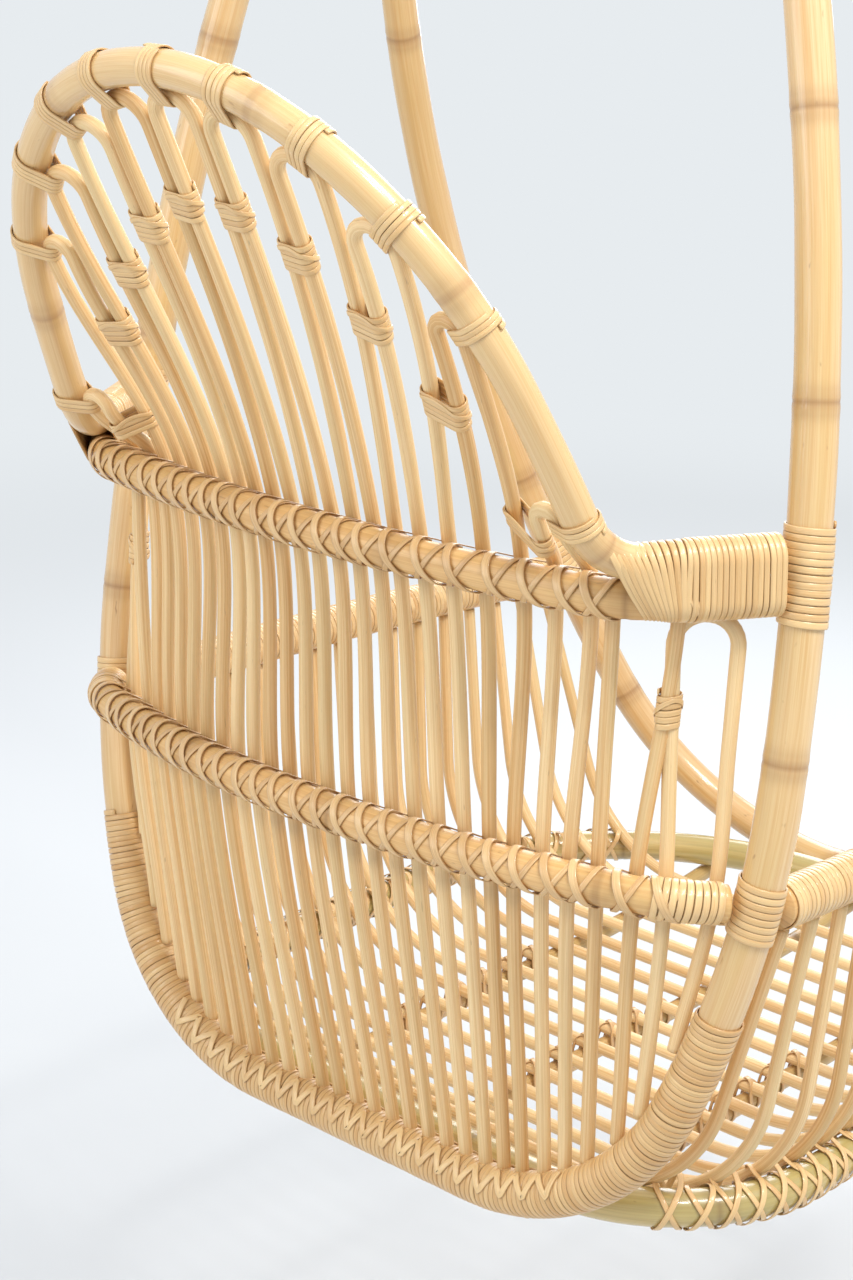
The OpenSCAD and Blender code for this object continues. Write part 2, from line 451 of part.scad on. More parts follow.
// Point [across, height] of the oval at share q of its length, and its outward direction
function oval(q) = let (L = PI * wind_mid, P = 2 * L + 2 * stack, s = (q - floor(q)) * P, r = wind_mid)
  s < L ? let (a = 180 + s / L * 180) [r * cos(a), r * sin(a), cos(a), sin(a)]
  : s < L + stack ? [r, s - L, 1, 0]
  : s < 2 * L + stack ? let (a = (s - L - stack) / L * 180) [r * cos(a), stack + r * sin(a), cos(a), sin(a)]
  : [-r, stack - (s - 2 * L - stack), -1, 0];
wind_steps = 24;
wind_across = cross(end_dir, [0, 0, 1]);
wind_start = upper_U - end_dir * (butt + 2 + strip_w / 2);
function wind_path() = [for (i = [0:wind_steps * strip_turns]) let (q = i / wind_steps, o = oval(q))
  wind_start - end_dir * (strip_pitch * q) + wind_across * o[0] + [0, 0, o[1]]];
function wind_out() = [for (i = [0:wind_steps * strip_turns])
  let (o = oval(i / wind_steps)) wind_across * o[2] + [0, 0, o[3]]];
wind_pts = wind_path();
least_turn = min([for (i = [0:len(wind_pts) - wind_steps - 1]) for (j = [wind_steps - 2:wind_steps
    + 2]) if (i + j < len(wind_pts)) norm(wind_pts[i + j] - wind_pts[i])]);
echo(joint_winding_least_gap_mm = least_turn - strip_w);
module joint_winding() tube(wind_pts, strip_w / 2 / cos(30), wrap_t / 2, wind_out(), 6, 0);

// ---- Hanger sizes -----------------------------------------------------------------------
eye_r = eye_bore_r + 9;
jaw_top = 6;
head_h = 6;
head_d = stem_d + 8;
stem_z = -eye_r - 16;                  // top face of the jaw's plate
head_z = stem_z - jaw_top - 0.3;
lug_r = pin_d / 2 + 9;
pin_z = head_z - head_h - 2 - lug_r;
lug_t = 8;
jaw_in = lug_t / 2 + 0.6;
jaw_t = 5;
jaw_r = lug_r - 1;
saddle_z = hoop_h + pole_d / 2 + gap;   // underside of the bracket's top plate
pin_rise = pole_d / 2 + gap + plate_t + jaw_r * 1.45 + 5;
cheek_y = pole_d + 1.5 * gap;
// The chair is drawn with its rear hoop bottom at height 0, then hung from the pin.
module hung() translate([0, 0, pin_z]) rotate([hang_tilt, 0, 0]) translate([0, 0,
    -hoop_h - pin_rise]) children();

// ---- Hanger ------------------------------------------------------------------------------
module swivel_eye() color("silver") {
  difference() {
    union() {
      rotate([90, 0, 0]) cylinder(r = eye_r, h = eye_t, center = true, $fn = 64);
      translate([0, 0, head_z - head_h]) cylinder(d = stem_d, h = -head_z + head_h - eye_bore_r - 2,
          $fn = 48);
    }
    rotate([90, 0, 0]) cylinder(r = eye_bore_r, h = eye_t + 10, center = true, $fn = 64);
  }
  translate([0, 0, head_z - head_h]) cylinder(d = head_d, h = head_h, $fn = 48);
}
module swivel_jaw() color("silver") difference() {
  union() {
    translate([-jaw_in - jaw_t, -jaw_r, stem_z - jaw_top]) cube([2 * (jaw_in + jaw_t), 2 * jaw_r, jaw_top]);
    for (x = [-jaw_in - jaw_t, jaw_in]) translate([x, 0, 0]) {
      translate([0, -jaw_r, pin_z]) cube([jaw_t, 2 * jaw_r, stem_z - jaw_top - pin_z]);
      translate([0, 0, pin_z]) rotate([0, 90, 0]) cylinder(r = jaw_r, h = jaw_t, $fn = 48);
    }
  }
  translate([0, 0, stem_z - jaw_top - 1]) cylinder(d = stem_d + 2 * run_fit, h = jaw_top + 2, $fn = 48);
  translate([0, 0, head_z - head_h - 1]) cylinder(d = head_d + 2, h = head_h + 1.3, $fn = 48);
  translate([-40, 0, pin_z]) rotate([0, 90, 0]) cylinder(d = pin_d + 2 * run_fit, h = 80, $fn = 48);
}
module clevis_pin() color("gray") translate([-jaw_in - jaw_t - 4 - 0.3, 0, pin_z]) rotate([0, 90, 0]) {
  cylinder(d = pin_d + 6, h = 4, $fn = 48);
  cylinder(d = pin_d, h = 2 * (jaw_in + jaw_t) + 12, $fn = 48);
  translate([0, 0, 2 * (jaw_in + jaw_t) + 4 + 0.6]) cylinder(d = pin_d + 5, h = 2, $fn = 48);
}
module hanger_bracket() color("dimgray") hung() difference() {
  union() {
    translate([-bracket_l / 2, -cheek_y - plate_t, saddle_z]) cube([bracket_l, 2 * (cheek_y + plate_t),
        plate_t]);
    for (y = [-cheek_y - plate_t, cheek_y]) translate([-bracket_l / 2, y,
        hoop_h - bolt_d - 8]) cube([bracket_l, plate_t, saddle_z - hoop_h + bolt_d + 8 + plate_t]);
    translate([-lug_t / 2, -lug_r, saddle_z + plate_t]) cube([lug_t, 2 * lug_r,
        hoop_h + pin_rise - saddle_z - plate_t]);
    translate([-lug_t / 2, 0, hoop_h + pin_rise]) rotate([0, 90, 0]) cylinder(r = lug_r, h = lug_t,
        $fn = 48);
  }
  translate([-20, 0, hoop_h + pin_rise]) rotate([0, 90, 0]) cylinder(d = pin_d + 2 * run_fit, h = 40,
      $fn = 48);
  translate([0, 60, hoop_h]) rotate([90, 0, 0]) cylinder(d = bolt_d + 0.4, h = 120, $fn = 48);
}
washer_t = 1.6;
nut_t = bolt_d * 0.8;
module through_bolt() color("gray") hung() translate([0, -cheek_y - plate_t - washer_t - 2 * gap,
    hoop_h]) rotate([-90, 0, 0]) {
  cylinder(d = bolt_d, h = 2 * (cheek_y + plate_t + washer_t) + nut_t + 4, $fn = 48);
  translate([0, 0, -bolt_d * 0.65]) cylinder(d = bolt_d * 1.9, h = bolt_d * 0.65, $fn = 6);
}
module bolt_washers() color("silver") hung() for (s = [-1, 1]) translate([0,
    s * (cheek_y + plate_t + gap + washer_t / 2), hoop_h]) rotate([90, 0, 0])
  difference() { cylinder(d = bolt_d * 2, h = washer_t, center = true, $fn = 48);
      cylinder(d = bolt_d + 0.6, h = 9, center = true, $fn = 48); }
module bolt_nut() color("silver") hung() translate([0, cheek_y + plate_t + washer_t + 2 * gap,
    hoop_h]) rotate([-90, 0, 0])
  difference() { cylinder(d = bolt_d * 1.9, h = nut_t, $fn = 6);
      translate([0, 0, -1]) cylinder(d = bolt_d + 0.1, h = nut_t + 2, $fn = 48); }

// ---- Frame ---------------------------------------------------------------------------------
module bolt_bore() translate([0, 60, hoop_h]) rotate([90, 0, 0]) cylinder(d = bolt_d + 0.4, h = 120,
    $fn = 48);
module rear_hoop() color("burlywood") hung() difference() { twin_pole(rear_F, rear_mv, pole_d);
    bolt_bore(); }
module front_hoop() color("burlywood") hung() difference() { twin_pole(front_F, front_mv, pole_d);
    bolt_bore(); }
module back_arch() color("wheat") hung() twin_pole(arch_F, arch_mv, arch_d);
module upper_rail() color("tan") hung() twin_pole(upper_F, upper_mv, rail_d);
module lower_rail() color("tan") hung() twin_pole(lower_F, lower_mv, rail_d);
module left_arm_rim() color("burlywood") hung() pole(rim_F, rim_mv, rim_d);
module right_arm_rim() color("burlywood") hung() mirror([1, 0, 0]) pole(rim_F, rim_mv, rim_d);
module base_ring() color("darkkhaki") hung() twin_pole(ring_F, ring_mv, ring_d, 0.8, true);
module left_seat_runner() color("tan") hung() seat_runner(runner_gap);
module middle_seat_runner() color("tan") hung() seat_runner(0);
module right_seat_runner() color("tan") hung() seat_runner(-runner_gap);
module seat_rods(part) color("wheat") hung()
  for (i = [floor(rod_count * part / 4):floor(rod_count * (part + 1) / 4) - 1]) seat_rod(rod_y(i));
module rear_seat_rods() seat_rods(0);
module rear_middle_seat_rods() seat_rods(1);
module front_middle_seat_rods() seat_rods(2);
module front_seat_rods() seat_rods(3);
module left_back_spindles() color("navajowhite") hung() for (k = [3:7]) hairpin(k, 1);
module middle_back_spindles() color("navajowhite") hung() {
  for (k = [0:2]) hairpin(k, 1);
  mirror([1, 0, 0]) for (k = [1:2]) hairpin(k, -1);
}
module right_back_spindles() color("navajowhite") hung() mirror([1, 0, 0]) for (k = [3:7]) hairpin(k, -1);

// ---- Binding nodes ---------------------------------------------------------------------------
module left_joint_winding() color("cornsilk") hung() joint_winding();
module right_joint_winding() color("cornsilk") hung() mirror([1, 0, 0]) joint_winding();
rear_len = run_len(rear_mv[0]) + run_len(rear_mv[1]) + run_len(rear_mv[2]) + run_len(rear_mv[3]);
front_len = run_len(front_mv[0]) + run_len(front_mv[1]) + run_len(front_mv[2]) + run_len(front_mv[3]);
function rear_s(z) = reach_z(rear_F, rear_mv, z, rear_mv[0][1], rear_len);
function front_s(z) = reach_z(front_F, front_mv, z, front_mv[0][1], front_len);
module upper_upright_wraps() color("cornsilk") hung() both_sides()
  sleeve(rear_F, rear_mv, rear_s(upper_rail_z - 26), rear_s(upper_rail_z + 48), pole_d, wrap_t);
module lower_upright_wraps() color("cornsilk") hung() both_sides()
  sleeve(rear_F, rear_mv, rear_s(lower_rail_z - 27), rear_s(lower_rail_z + 20), pole_d, wrap_t);
module lower_rail_end_wraps() color("cornsilk") hung() both_sides() {
  s = run_len(lower_mv[0]) + run_len(lower_mv[1]);
  sleeve(lower_F, lower_mv, s - 38, s - 1, rail_d, wrap_t);
}
rim_len = run_len(rim_mv[0]);
module rim_wrap() sleeve(rim_F, rim_mv, 1, rim_len - 1, rim_d, wrap_t);
module left_rim_wrap() color("cornsilk") hung() rim_wrap();
module right_rim_wrap() color("cornsilk") hung() mirror([1, 0, 0]) rim_wrap();
module front_hoop_wraps() color("cornsilk") hung() both_sides()
  sleeve(front_F, front_mv, front_s(rim_front_z - 34), front_s(rim_front_z + 34), pole_d, wrap_t);
module hoop_bottom_wrap() color("cornsilk") hung() both_sides()
  sleeve(rear_F, rear_mv, 0, rear_s(150), pole_d, wrap_t);
lash_end = run_len(lower_mv[0]) + run_len(lower_mv[1]) - 40;
module upper_rail_lashing() color("peru") hung() both_sides()
  sleeve(upper_F, upper_mv, 1, run_len(upper_mv[0]) + 18, rail_d, lash_t);
module lower_rail_lashing() color("peru") hung() both_sides() sleeve(lower_F, lower_mv, 1, lash_end,
    rail_d, lash_t);
module arch_ties() color("cornsilk") hung() { arch_tie(0); both_sides() for (k = [1:5]) arch_tie(k); }
module spindle_bands() color("cornsilk") hung() {
  for (k = banded) leg_band(k, 1);
  mirror([1, 0, 0]) for (k = banded) leg_band(k, -1);
}
// A cane turn round the ring beside each seat rod
module ring_lashings() color("cornsilk") hung() both_sides() for (i = [0:rod_count - 2]) {
  y = (rod_y(i) + rod_y(i + 1)) / 2;
  w = ring_half(y, 0);
  h = [sqrt(1 - w[1] * w[1]) * (y > ring_cy ? 1 : -1), -w[1], 0];
  at_frame([[w[0], y, 0], h, [0, 0, 1]]) rotate([0, 90, 0]) difference() {
    cylinder(d = ring_d + 2 * gap + 2 * knot_t, h = 5, center = true, $fn = 48);
    cylinder(d = ring_d + 2 * gap, h = 9, center = true, $fn = 48);
  }
}
module runner_knots() color("peru") hung() for (x = [-runner_gap, 0, runner_gap]) for (i = [0:rod_count
    - 2]) {
  y = (rod_y(i) + rod_y(i + 1)) / 2;
  if (y < ring_cy - 4 && y > ring_fy + 4) translate([x, y, runner_z]) rotate([90, 0, 0]) difference() {
    cylinder(d = runner_d + 2 * gap + 2 * knot_t, h = 10, center = true, $fn = 48);
    cylinder(d = runner_d + 2 * gap, h = 14, center = true, $fn = 48);
  }
}

swivel_eye();
swivel_jaw();
clevis_pin();
hanger_bracket();
through_bolt();
bolt_washers();
bolt_nut();
rear_hoop();
front_hoop();
back_arch();
upper_rail();
lower_rail();
left_arm_rim();
right_arm_rim();
base_ring();
left_seat_runner();
middle_seat_runner();
right_seat_runner();
rear_seat_rods();
rear_middle_seat_rods();
front_middle_seat_rods();
front_seat_rods();
left_back_spindles();
middle_back_spindles();
right_back_spindles();
left_joint_winding();
right_joint_winding();
upper_upright_wraps();
lower_upright_wraps();
lower_rail_end_wraps();
left_rim_wrap();
right_rim_wrap();
front_hoop_wraps();
hoop_bottom_wrap();
upper_rail_lashing();
lower_rail_lashing();
arch_ties();
spindle_bands();
ring_lashings();
runner_knots();
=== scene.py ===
"""Looks of a hanging rattan egg chair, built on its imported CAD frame.

Every piece is a numpy surface in the chair's own millimetre frame, in which Z runs up from the
bottom of the hoops and Y runs to the back. It is then hung on the swivel as the CAD parts are.
"""

import logging
import math
from collections.abc import Callable
from dataclasses import dataclass, replace
from enum import Enum

import bpy
import numpy as np
from mathutils import Matrix, Vector


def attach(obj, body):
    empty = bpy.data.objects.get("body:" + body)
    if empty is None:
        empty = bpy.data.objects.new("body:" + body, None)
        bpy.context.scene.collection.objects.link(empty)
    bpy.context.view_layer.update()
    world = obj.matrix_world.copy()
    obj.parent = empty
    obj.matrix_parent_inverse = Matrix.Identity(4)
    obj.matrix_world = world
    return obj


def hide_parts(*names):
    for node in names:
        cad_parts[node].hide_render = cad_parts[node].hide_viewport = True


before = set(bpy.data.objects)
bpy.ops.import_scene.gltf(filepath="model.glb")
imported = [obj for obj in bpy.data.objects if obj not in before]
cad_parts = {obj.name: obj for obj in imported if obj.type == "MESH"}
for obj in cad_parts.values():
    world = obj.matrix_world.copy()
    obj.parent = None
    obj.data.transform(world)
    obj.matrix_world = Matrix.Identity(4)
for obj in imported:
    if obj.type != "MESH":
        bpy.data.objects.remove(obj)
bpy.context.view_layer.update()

LOG = logging.getLogger("egg_chair")
CHAIR_BODY = "chair"
MM_PER_M = 1000

Array = np.ndarray
Rng = np.random.Generator
Moves = list[list[float]]
Frame3 = tuple[Array, Array, Array]
Values = float | Array
Socket = bpy.types.NodeSocket
Feed = Socket | float | tuple


# ---- Sizes, as in the CAD source ---------------------------------------------------------
@dataclass(frozen=True)
class Sizes:
    """The chair's sizes and how it hangs, in millimetres and degrees."""

    pole_d: float = 32  # cane of both hoops
    hoop_w: float = 680  # rear hoop
    hoop_h: float = 1330
    top_flat: float = 26  # half of the flat at a hoop's top
    rear_lean: float = 8
    front_w: float = 757
    front_reach: float = 511  # from below the hoops' top to the front hoop's bottom
    rail_d: float = 27
    lower_z: float = 285
    lower_tilt: float = 7
    lower_clear: float = 4  # between a rail's end and the wrapped upright
    upper_z: float = 505
    upper_clear: float = 1.2
    arch_d: float = 26
    arch_lean: float = 26
    arch_run: float = 40  # straight run before the flare onto the rail
    arch_clear: float = 1
    flare_r: float = 58
    spindle_d: float = 11  # spindles and seat rods
    leg_pitch: float = 20.6  # unit of the legs' places across the back
    leg_fan: float = 0.94  # half width at the foot over that at the lower rail
    leg_drift: float = 30  # how far the legs lean to one side at the upper rail
    drift_reach: float = 250  # half width at which they no longer do
    leg_clear: float = 0.3
    end_crest_w: float = 17  # half width of the outermost hairpin
    rim_d: float = 32
    rim_rear_z: float = 277
    rim_front_z: float = 265
    rim_bow: float = 12
    ring_d: float = 30
    ring_w: float = 602
    ring_corner: float = 150
    ring_front_flat: float = 20
    rods: int = 16
    rod_bend: float = 140  # radius of a seat rod's bend
    rod_clear: float = 0.3
    front_rod_y: float = -388
    rear_rod_y: float = 132
    runner_d: float = 16
    runner_gap: float = 150
    runner_past: float = 8  # how far a runner's ends go past the ring's centreline
    wrap_t: float = 2
    lash_t: float = 1.6
    gap: float = 0.35
    pin_rise: float = 44.2  # clevis pin above the hoops' height
    pin_z: float = -65.8  # clevis pin in the frame
    hang_tilt: float = 0.73


@dataclass(frozen=True)
class HoopShape:
    """Half of a hoop from the middle of its bottom: the flat, the corner, and the headings."""

    flat: float
    corner_r: float
    corner_turn: float
    side_turn: float


@dataclass(frozen=True)
class RailShape:
    """Half of a rail from its middle: a wide arc, and a tighter one that ends at end_turn."""

    mid_r: float
    mid_turn: float
    end_r: float
    end_turn: float


Z = Sizes()
REAR_SHAPE = HoopShape(115, 190, 68, 118)
FRONT_SHAPE = HoopShape(37, 259, 68, 119)
UPPER_SHAPE = RailShape(1150, 12, 80, 59)
LOWER_SHAPE = RailShape(727, 21.5, 107, 52.5)
ARCH_SHAPE = ((207.4, 36), (294.5, 41.3), (1314.6, 3.95))  # radius and turn of each arc

# A hairpin's number k counts from the middle. Up to LAST_ARCHED its crest is tied to the arch.
LAST_ARCHED, RAIL_PIN, END_PIN = 5, 6, 7
CREST_U = (0, 49.6, 99.5, 148, 190, 225)  # half width of each crest's centre
CREST_W = (19, 19, 19, 18, 12.5, 10.5)  # half width of each crest
LOW_N = (0.5, 1.5, 2.5, 3.5, 4.5, 5.5, 6.55, 7.5, 8.4, 9.45, 10.4, 11.4, 12.65, 13.55, 14.7)
UP_N = (0.5, 1.5, 2.5, 3.4, 4.3, 5.3, 6.4, 7.6, 8.9, 9.9, 11, 11.75, 13.3)
UP_SPARE = (1.6, 1.6, 1.6, 1.6, 2.4, 5, 1.6)  # extra distance of each hairpin from the rail
RAIL_PIN_RISE = 6
END_PIN_IN, END_PIN_DROP, END_PIN_FORWARD, END_PIN_KNEE = 4, 2, 14, 0.6


def sin(a: float) -> float:
    """Sine of an angle in degrees."""
    return math.sin(math.radians(a))


def cos(a: float) -> float:
    """Cosine of an angle in degrees."""
    return math.cos(math.radians(a))


def tan(a: float) -> float:
    """Tangent of an angle in degrees."""
    return math.tan(math.radians(a))


def vec(*values: float) -> Array:
    """A point or direction as a float array."""
    return np.array(values, float)


def unit(v: Array) -> Array:
    """Vectors divided by their length along the last axis."""
    return v / np.linalg.norm(v, axis=-1, keepdims=True)


def run_lengths(points: Array) -> Array:
    """Distances of points along the line through them, from 0."""
    return np.concatenate([[0], np.cumsum(np.linalg.norm(np.diff(points, axis=0), axis=1))])


def columns(x: Values, at: Array, table: Array) -> Array:
    """Linear interpolation at x of every column of a table given at the values at."""
    return np.stack([np.interp(x, at, column) for column in table.T], -1)


def turn_x(v: Array) -> Array:
    """Directions of the chair turned about X by the hanging tilt."""
    c, s = cos(Z.hang_tilt), sin(Z.hang_tilt)
    return v @ np.array([[1, 0, 0], [0, c, s], [0, -s, c]])


def hang(points: Array) -> Array:
    """Chair millimetres to the frame's metres: a turn by the hanging tilt about the pin."""
    p = points - vec(0, 0, Z.hoop_h + Z.pin_rise)
    return (turn_x(p) + vec(0, 0, Z.pin_z)) / MM_PER_M


# ---- Paths -------------------------------------------------------------------------------
@dataclass
class Path:
    """A centreline sampled along its length, with a reference direction for its cross-section.

    The local axes at a point are a = unit(ref x heading) and b = heading x a.
    """

    s: Array
    p: Array
    t: Array
    ref: Array

    @classmethod
    def through(cls, points: Array, ref: Array) -> "Path":
        """Path through close points; its heading is their unit difference."""
        s = run_lengths(points)
        return cls(s, points, unit(np.gradient(points, s, axis=0)), ref)

    @property
    def length(self) -> float:
        """Length from the first to the last sample."""
        return float(self.s[-1])

    def point(self, s: float) -> Array:
        """The point at one distance along the path."""
        return columns(s, self.s, self.p)

    def at(self, s: Array) -> tuple[Array, Array, Array, Array]:
        """Looks up the path at distances along it.

        Args:
            s: the distances.

        Returns:
            Points, headings and the two section axes.
        """
        t = unit(columns(s, self.s, self.t))
        a = unit(np.cross(np.broadcast_to(self.ref, t.shape), t))
        return columns(s, self.s, self.p), t, a, np.cross(t, a)

    def mirrored(self) -> "Path":
        """The same path on the other side of the middle plane, run backwards."""
        p, t = (v[::-1] * vec(-1, 1, 1) for v in (self.p, -self.t))
        return Path(self.s, p, t, self.ref * vec(1, -1, -1))

    def doubled(self) -> "Path":
        """Joins the path to its mirror image.

        Returns:
            The whole path, with distance 0 in the middle plane.
        """
        m = self.mirrored()
        return Path(
            np.concatenate([self.s[0] - self.s[:0:-1], self.s]),
            np.concatenate([m.p[:-1], self.p]),
            np.concatenate([m.t[:-1], self.t]),
            self.ref,
        )


def trace(start: Frame3, moves: Moves, step: float = 4) -> Path:
    """Path made of straight runs and arcs.

    At turn q an arc of radius r stands at r (side (1 - cos q) + heading sin q) from its start,
    and heads along heading cos q + side sin q.

    Args:
        start: point, heading and side; a bend turns the heading toward the side.
        moves: (0, length) or (radius, turn, roll of the side before it).
        step: spacing of the samples.

    Returns:
        The path, with its reference square to the first bend's plane.
    """
    p, h, side = (np.asarray(v, float) for v in start)
    ref = np.cross(h, side)
    points, headings = [], []
    for move in moves:
        r, turn, roll = move[0], move[1], move[2] if len(move) > 2 else 0
        side = side * cos(roll) + np.cross(h, side) * sin(roll)
        length = turn if r == 0 else r * math.radians(turn)
        u = np.arange(max(1, math.ceil(length / step)))[:, None]
        u = u / len(u)
        if r == 0:
            points.append(p + h * length * u)
            headings.append(np.broadcast_to(h, (len(u), 3)))
            p = p + h * length
        else:
            a = np.radians(turn) * u
            points.append(p + r * (side * (1 - np.cos(a)) + h * np.sin(a)))
            headings.append(h * np.cos(a) + side * np.sin(a))
            p = p + r * (side * (1 - cos(turn)) + h * sin(turn))
            h, side = h * cos(turn) + side * sin(turn), side * cos(turn) - h * sin(turn)
    points = np.concatenate([*points, p[None]])
    return Path(run_lengths(points), points, np.concatenate([*headings, h[None]]), ref)


# ---- Where the hoops and rails run -------------------------------------------------------
WRAP_R = Z.pole_d / 2 + Z.gap + Z.wrap_t
BUTT = WRAP_R + Z.gap
REAR_Y = Z.pole_d / 2 + Z.gap / 2 + Z.hoop_h * tan(Z.rear_lean)
FRONT_LEAN = math.degrees(math.atan((Z.front_reach - Z.pole_d / 2 - Z.gap / 2) / Z.hoop_h))


def side_radius(sh: HoopShape, w: float) -> float:
    """Radius of a hoop's lower side, from its flat, corner and half width."""
    return (w - sh.flat - sh.corner_r * sin(sh.corner_turn)) / (1 - sin(sh.corner_turn))


def belly(sh: HoopShape, w: float) -> float:
    """Height in the hoop's plane at which a hoop is widest."""
    c = cos(sh.corner_turn)
    return sh.corner_r * (1 - c) + side_radius(sh, w) * c


def hoop_moves(sh: HoopShape, w: float, h: float) -> Moves:
    """Half a hoop: flat, corner, lower side, upper side, top arc and top flat.

    The two upper radii solve for the half width and the height.

    Args:
        sh: the hoop's shape.
        w: half width.
        h: height in the hoop's plane.

    Returns:
        The moves that trace it.
    """
    z1, s, c = belly(sh, w), sin(sh.side_turn), -cos(sh.side_turn)
    upper_r = (h - z1 - (1 - c) * (w - Z.top_flat) / s) / (c - (1 - c) * (1 - s) / s)
    top_r = (w - Z.top_flat - upper_r * (1 - s)) / s
    return [[0, sh.flat], [sh.corner_r, sh.corner_turn], [side_radius(sh, w), 90 - sh.corner_turn],
            [upper_r, sh.side_turn - 90], [top_r, 180 - sh.side_turn], [0, Z.top_flat]]


REAR_F = (vec(0, REAR_Y, 0), vec(1, 0, 0), vec(0, -sin(Z.rear_lean), cos(Z.rear_lean)))
FRONT_F = (vec(0, -Z.front_reach, 0), vec(1, 0, 0), vec(0, sin(FRONT_LEAN), cos(FRONT_LEAN)))
REAR = trace(REAR_F, hoop_moves(REAR_SHAPE, Z.hoop_w / 2, Z.hoop_h / cos(Z.rear_lean)))
FRONT = trace(FRONT_F, hoop_moves(FRONT_SHAPE, Z.front_w / 2, Z.hoop_h / cos(FRONT_LEAN)))


def hoop_s(path: Path, z: float) -> float:
    """Distance along a rising half hoop at which it passes a height."""
    return float(np.interp(z, path.p[:, 2], path.s))


def hoop_at(path: Path, z: float) -> Array:
    """Point at which a rising half hoop passes a height."""
    return path.point(hoop_s(path, z))


def rail_parts(sh: RailShape, end: Array, clear: float) -> tuple[float, float]:
    """Fits a rail between the uprights.

    Args:
        sh: the rail's shape.
        end: centre of the left upright at the rail's height.
        clear: distance from there to the rail's end.

    Returns:
        Length of its straight end run, and its depth behind the uprights.
    """
    s0, c0, s1, c1 = sin(sh.mid_turn), cos(sh.mid_turn), sin(sh.end_turn), cos(sh.end_turn)
    run = (end[0] - clear * c1 - sh.mid_r * s0 - sh.end_r * (s1 - s0)) / c1
    return run, sh.mid_r * (1 - c0) + sh.end_r * (c0 - c1) + (run + clear) * s1


def rail_frame(end: Array, depth: float, tilt: float) -> Frame3:
    """Frame at the middle of a rail whose plane tilts about the line between its ends."""
    middle = vec(0, end[1] + depth * cos(tilt), end[2] + depth * sin(tilt))
    return middle, vec(1, 0, 0), vec(0, -cos(tilt), -sin(tilt))


def rail_moves(sh: RailShape, run: float) -> Moves:
    """Half a rail: the middle arc, the end arc and a straight run."""
    return [[sh.mid_r, sh.mid_turn], [sh.end_r, sh.end_turn - sh.mid_turn], [0, run]]


UPPER_U = hoop_at(REAR, Z.upper_z)
LOWER_U = hoop_at(REAR, Z.lower_z)
UPPER_RUN, UPPER_DEPTH = rail_parts(UPPER_SHAPE, UPPER_U, BUTT + Z.upper_clear)
LOWER_RUN, LOWER_DEPTH = rail_parts(LOWER_SHAPE, LOWER_U, BUTT + Z.lower_clear)
UPPER_F = rail_frame(UPPER_U, UPPER_DEPTH, 0)
LOWER_F = rail_frame(LOWER_U, LOWER_DEPTH, Z.lower_tilt)
UPPER = trace(UPPER_F, rail_moves(UPPER_SHAPE, UPPER_RUN))
LOWER = trace(LOWER_F, rail_moves(LOWER_SHAPE, LOWER_RUN))


def rail_v(sh: RailShape, x: float, off: float) -> float:
    """Depth of a rail's outline, moved inward, at a half width.

    On each arc it is the centre's depth less sqrt(radius^2 - (x - centre)^2).

    Args:
        sh: the rail's shape.
        x: half width.
        off: how far the outline is moved inward.

    Returns:
        The depth below the middle of the rail.
    """
    if x < (sh.mid_r - off) * sin(sh.mid_turn):
        return sh.mid_r - math.sqrt((sh.mid_r - off) ** 2 - x * x)
    cx = (sh.mid_r - sh.end_r) * sin(sh.mid_turn)
    cv = sh.mid_r - (sh.mid_r - sh.end_r) * cos(sh.mid_turn)
    ex = cx + (sh.end_r - off) * sin(sh.end_turn)
    if x < ex:
        return cv - math.sqrt((sh.end_r - off) ** 2 - (x - cx) ** 2)
    return cv - (sh.end_r - off) * cos(sh.end_turn) + (x - ex) * tan(sh.end_turn)


# ---- Where the arch runs -----------------------------------------------------------------
STACK = (Z.rail_d + Z.arch_d) / 2 + Z.gap
END_DIR = vec(cos(UPPER_SHAPE.end_turn), -sin(UPPER_SHAPE.end_turn), 0)
ARCH_DOWN = vec(0, -sin(Z.arch_lean), -cos(Z.arch_lean))
ARCH_TURN1 = ARCH_SHAPE[0][1] + ARCH_SHAPE[1][1]
ARCH_TURN = ARCH_TURN1 + ARCH_SHAPE[2][1]


def arch_path() -> tuple[Path, Array]:
    """Traces half the back arch.

    Three arcs and a straight run lie in the leaning plane, and a flare turns the pole onto the
    upper rail's end run.

    Returns:
        The path and its top point.
    """
    (r0, t0), (r1, _), (r2, _) = ARCH_SHAPE
    s1, c1, s2, c2 = sin(ARCH_TURN1), cos(ARCH_TURN1), sin(ARCH_TURN), cos(ARCH_TURN)
    x = r0 * sin(t0) + r1 * (s1 - sin(t0)) + r2 * (s2 - s1) + Z.arch_run * c2
    v = r0 * (1 - cos(t0)) + r1 * (cos(t0) - c1) + r2 * (c1 - c2) + Z.arch_run * s2
    end = UPPER_U + vec(0, 0, STACK) - END_DIR * (BUTT + Z.arch_clear)
    back = (end[0] - x) / cos(UPPER_SHAPE.end_turn)
    top = end - END_DIR * back - ARCH_DOWN * v - vec(x, 0, 0)
    heading = vec(c2, 0, 0) + ARCH_DOWN * s2
    side = ARCH_DOWN * c2 - vec(s2, 0, 0)
    turn = math.degrees(math.acos(heading @ END_DIR))
    flare = unit(END_DIR - heading * (heading @ END_DIR))
    roll = math.degrees(math.atan2(np.cross(heading, side) @ flare, side @ flare))
    cut = Z.flare_r * tan(turn / 2)
    moves = [list(m) for m in ARCH_SHAPE]
    moves += [[0, Z.arch_run - cut], [Z.flare_r, turn, roll], [0, back - cut]]
    return trace((top, vec(1, 0, 0), ARCH_DOWN), moves), top


ARCH, ARCH_TOP = arch_path()


def arch_point(u: float, v: float) -> Array:
    """Point of the arch's plane at half width u and depth v below its top."""
    return ARCH_TOP + vec(u, 0, 0) + ARCH_DOWN * v


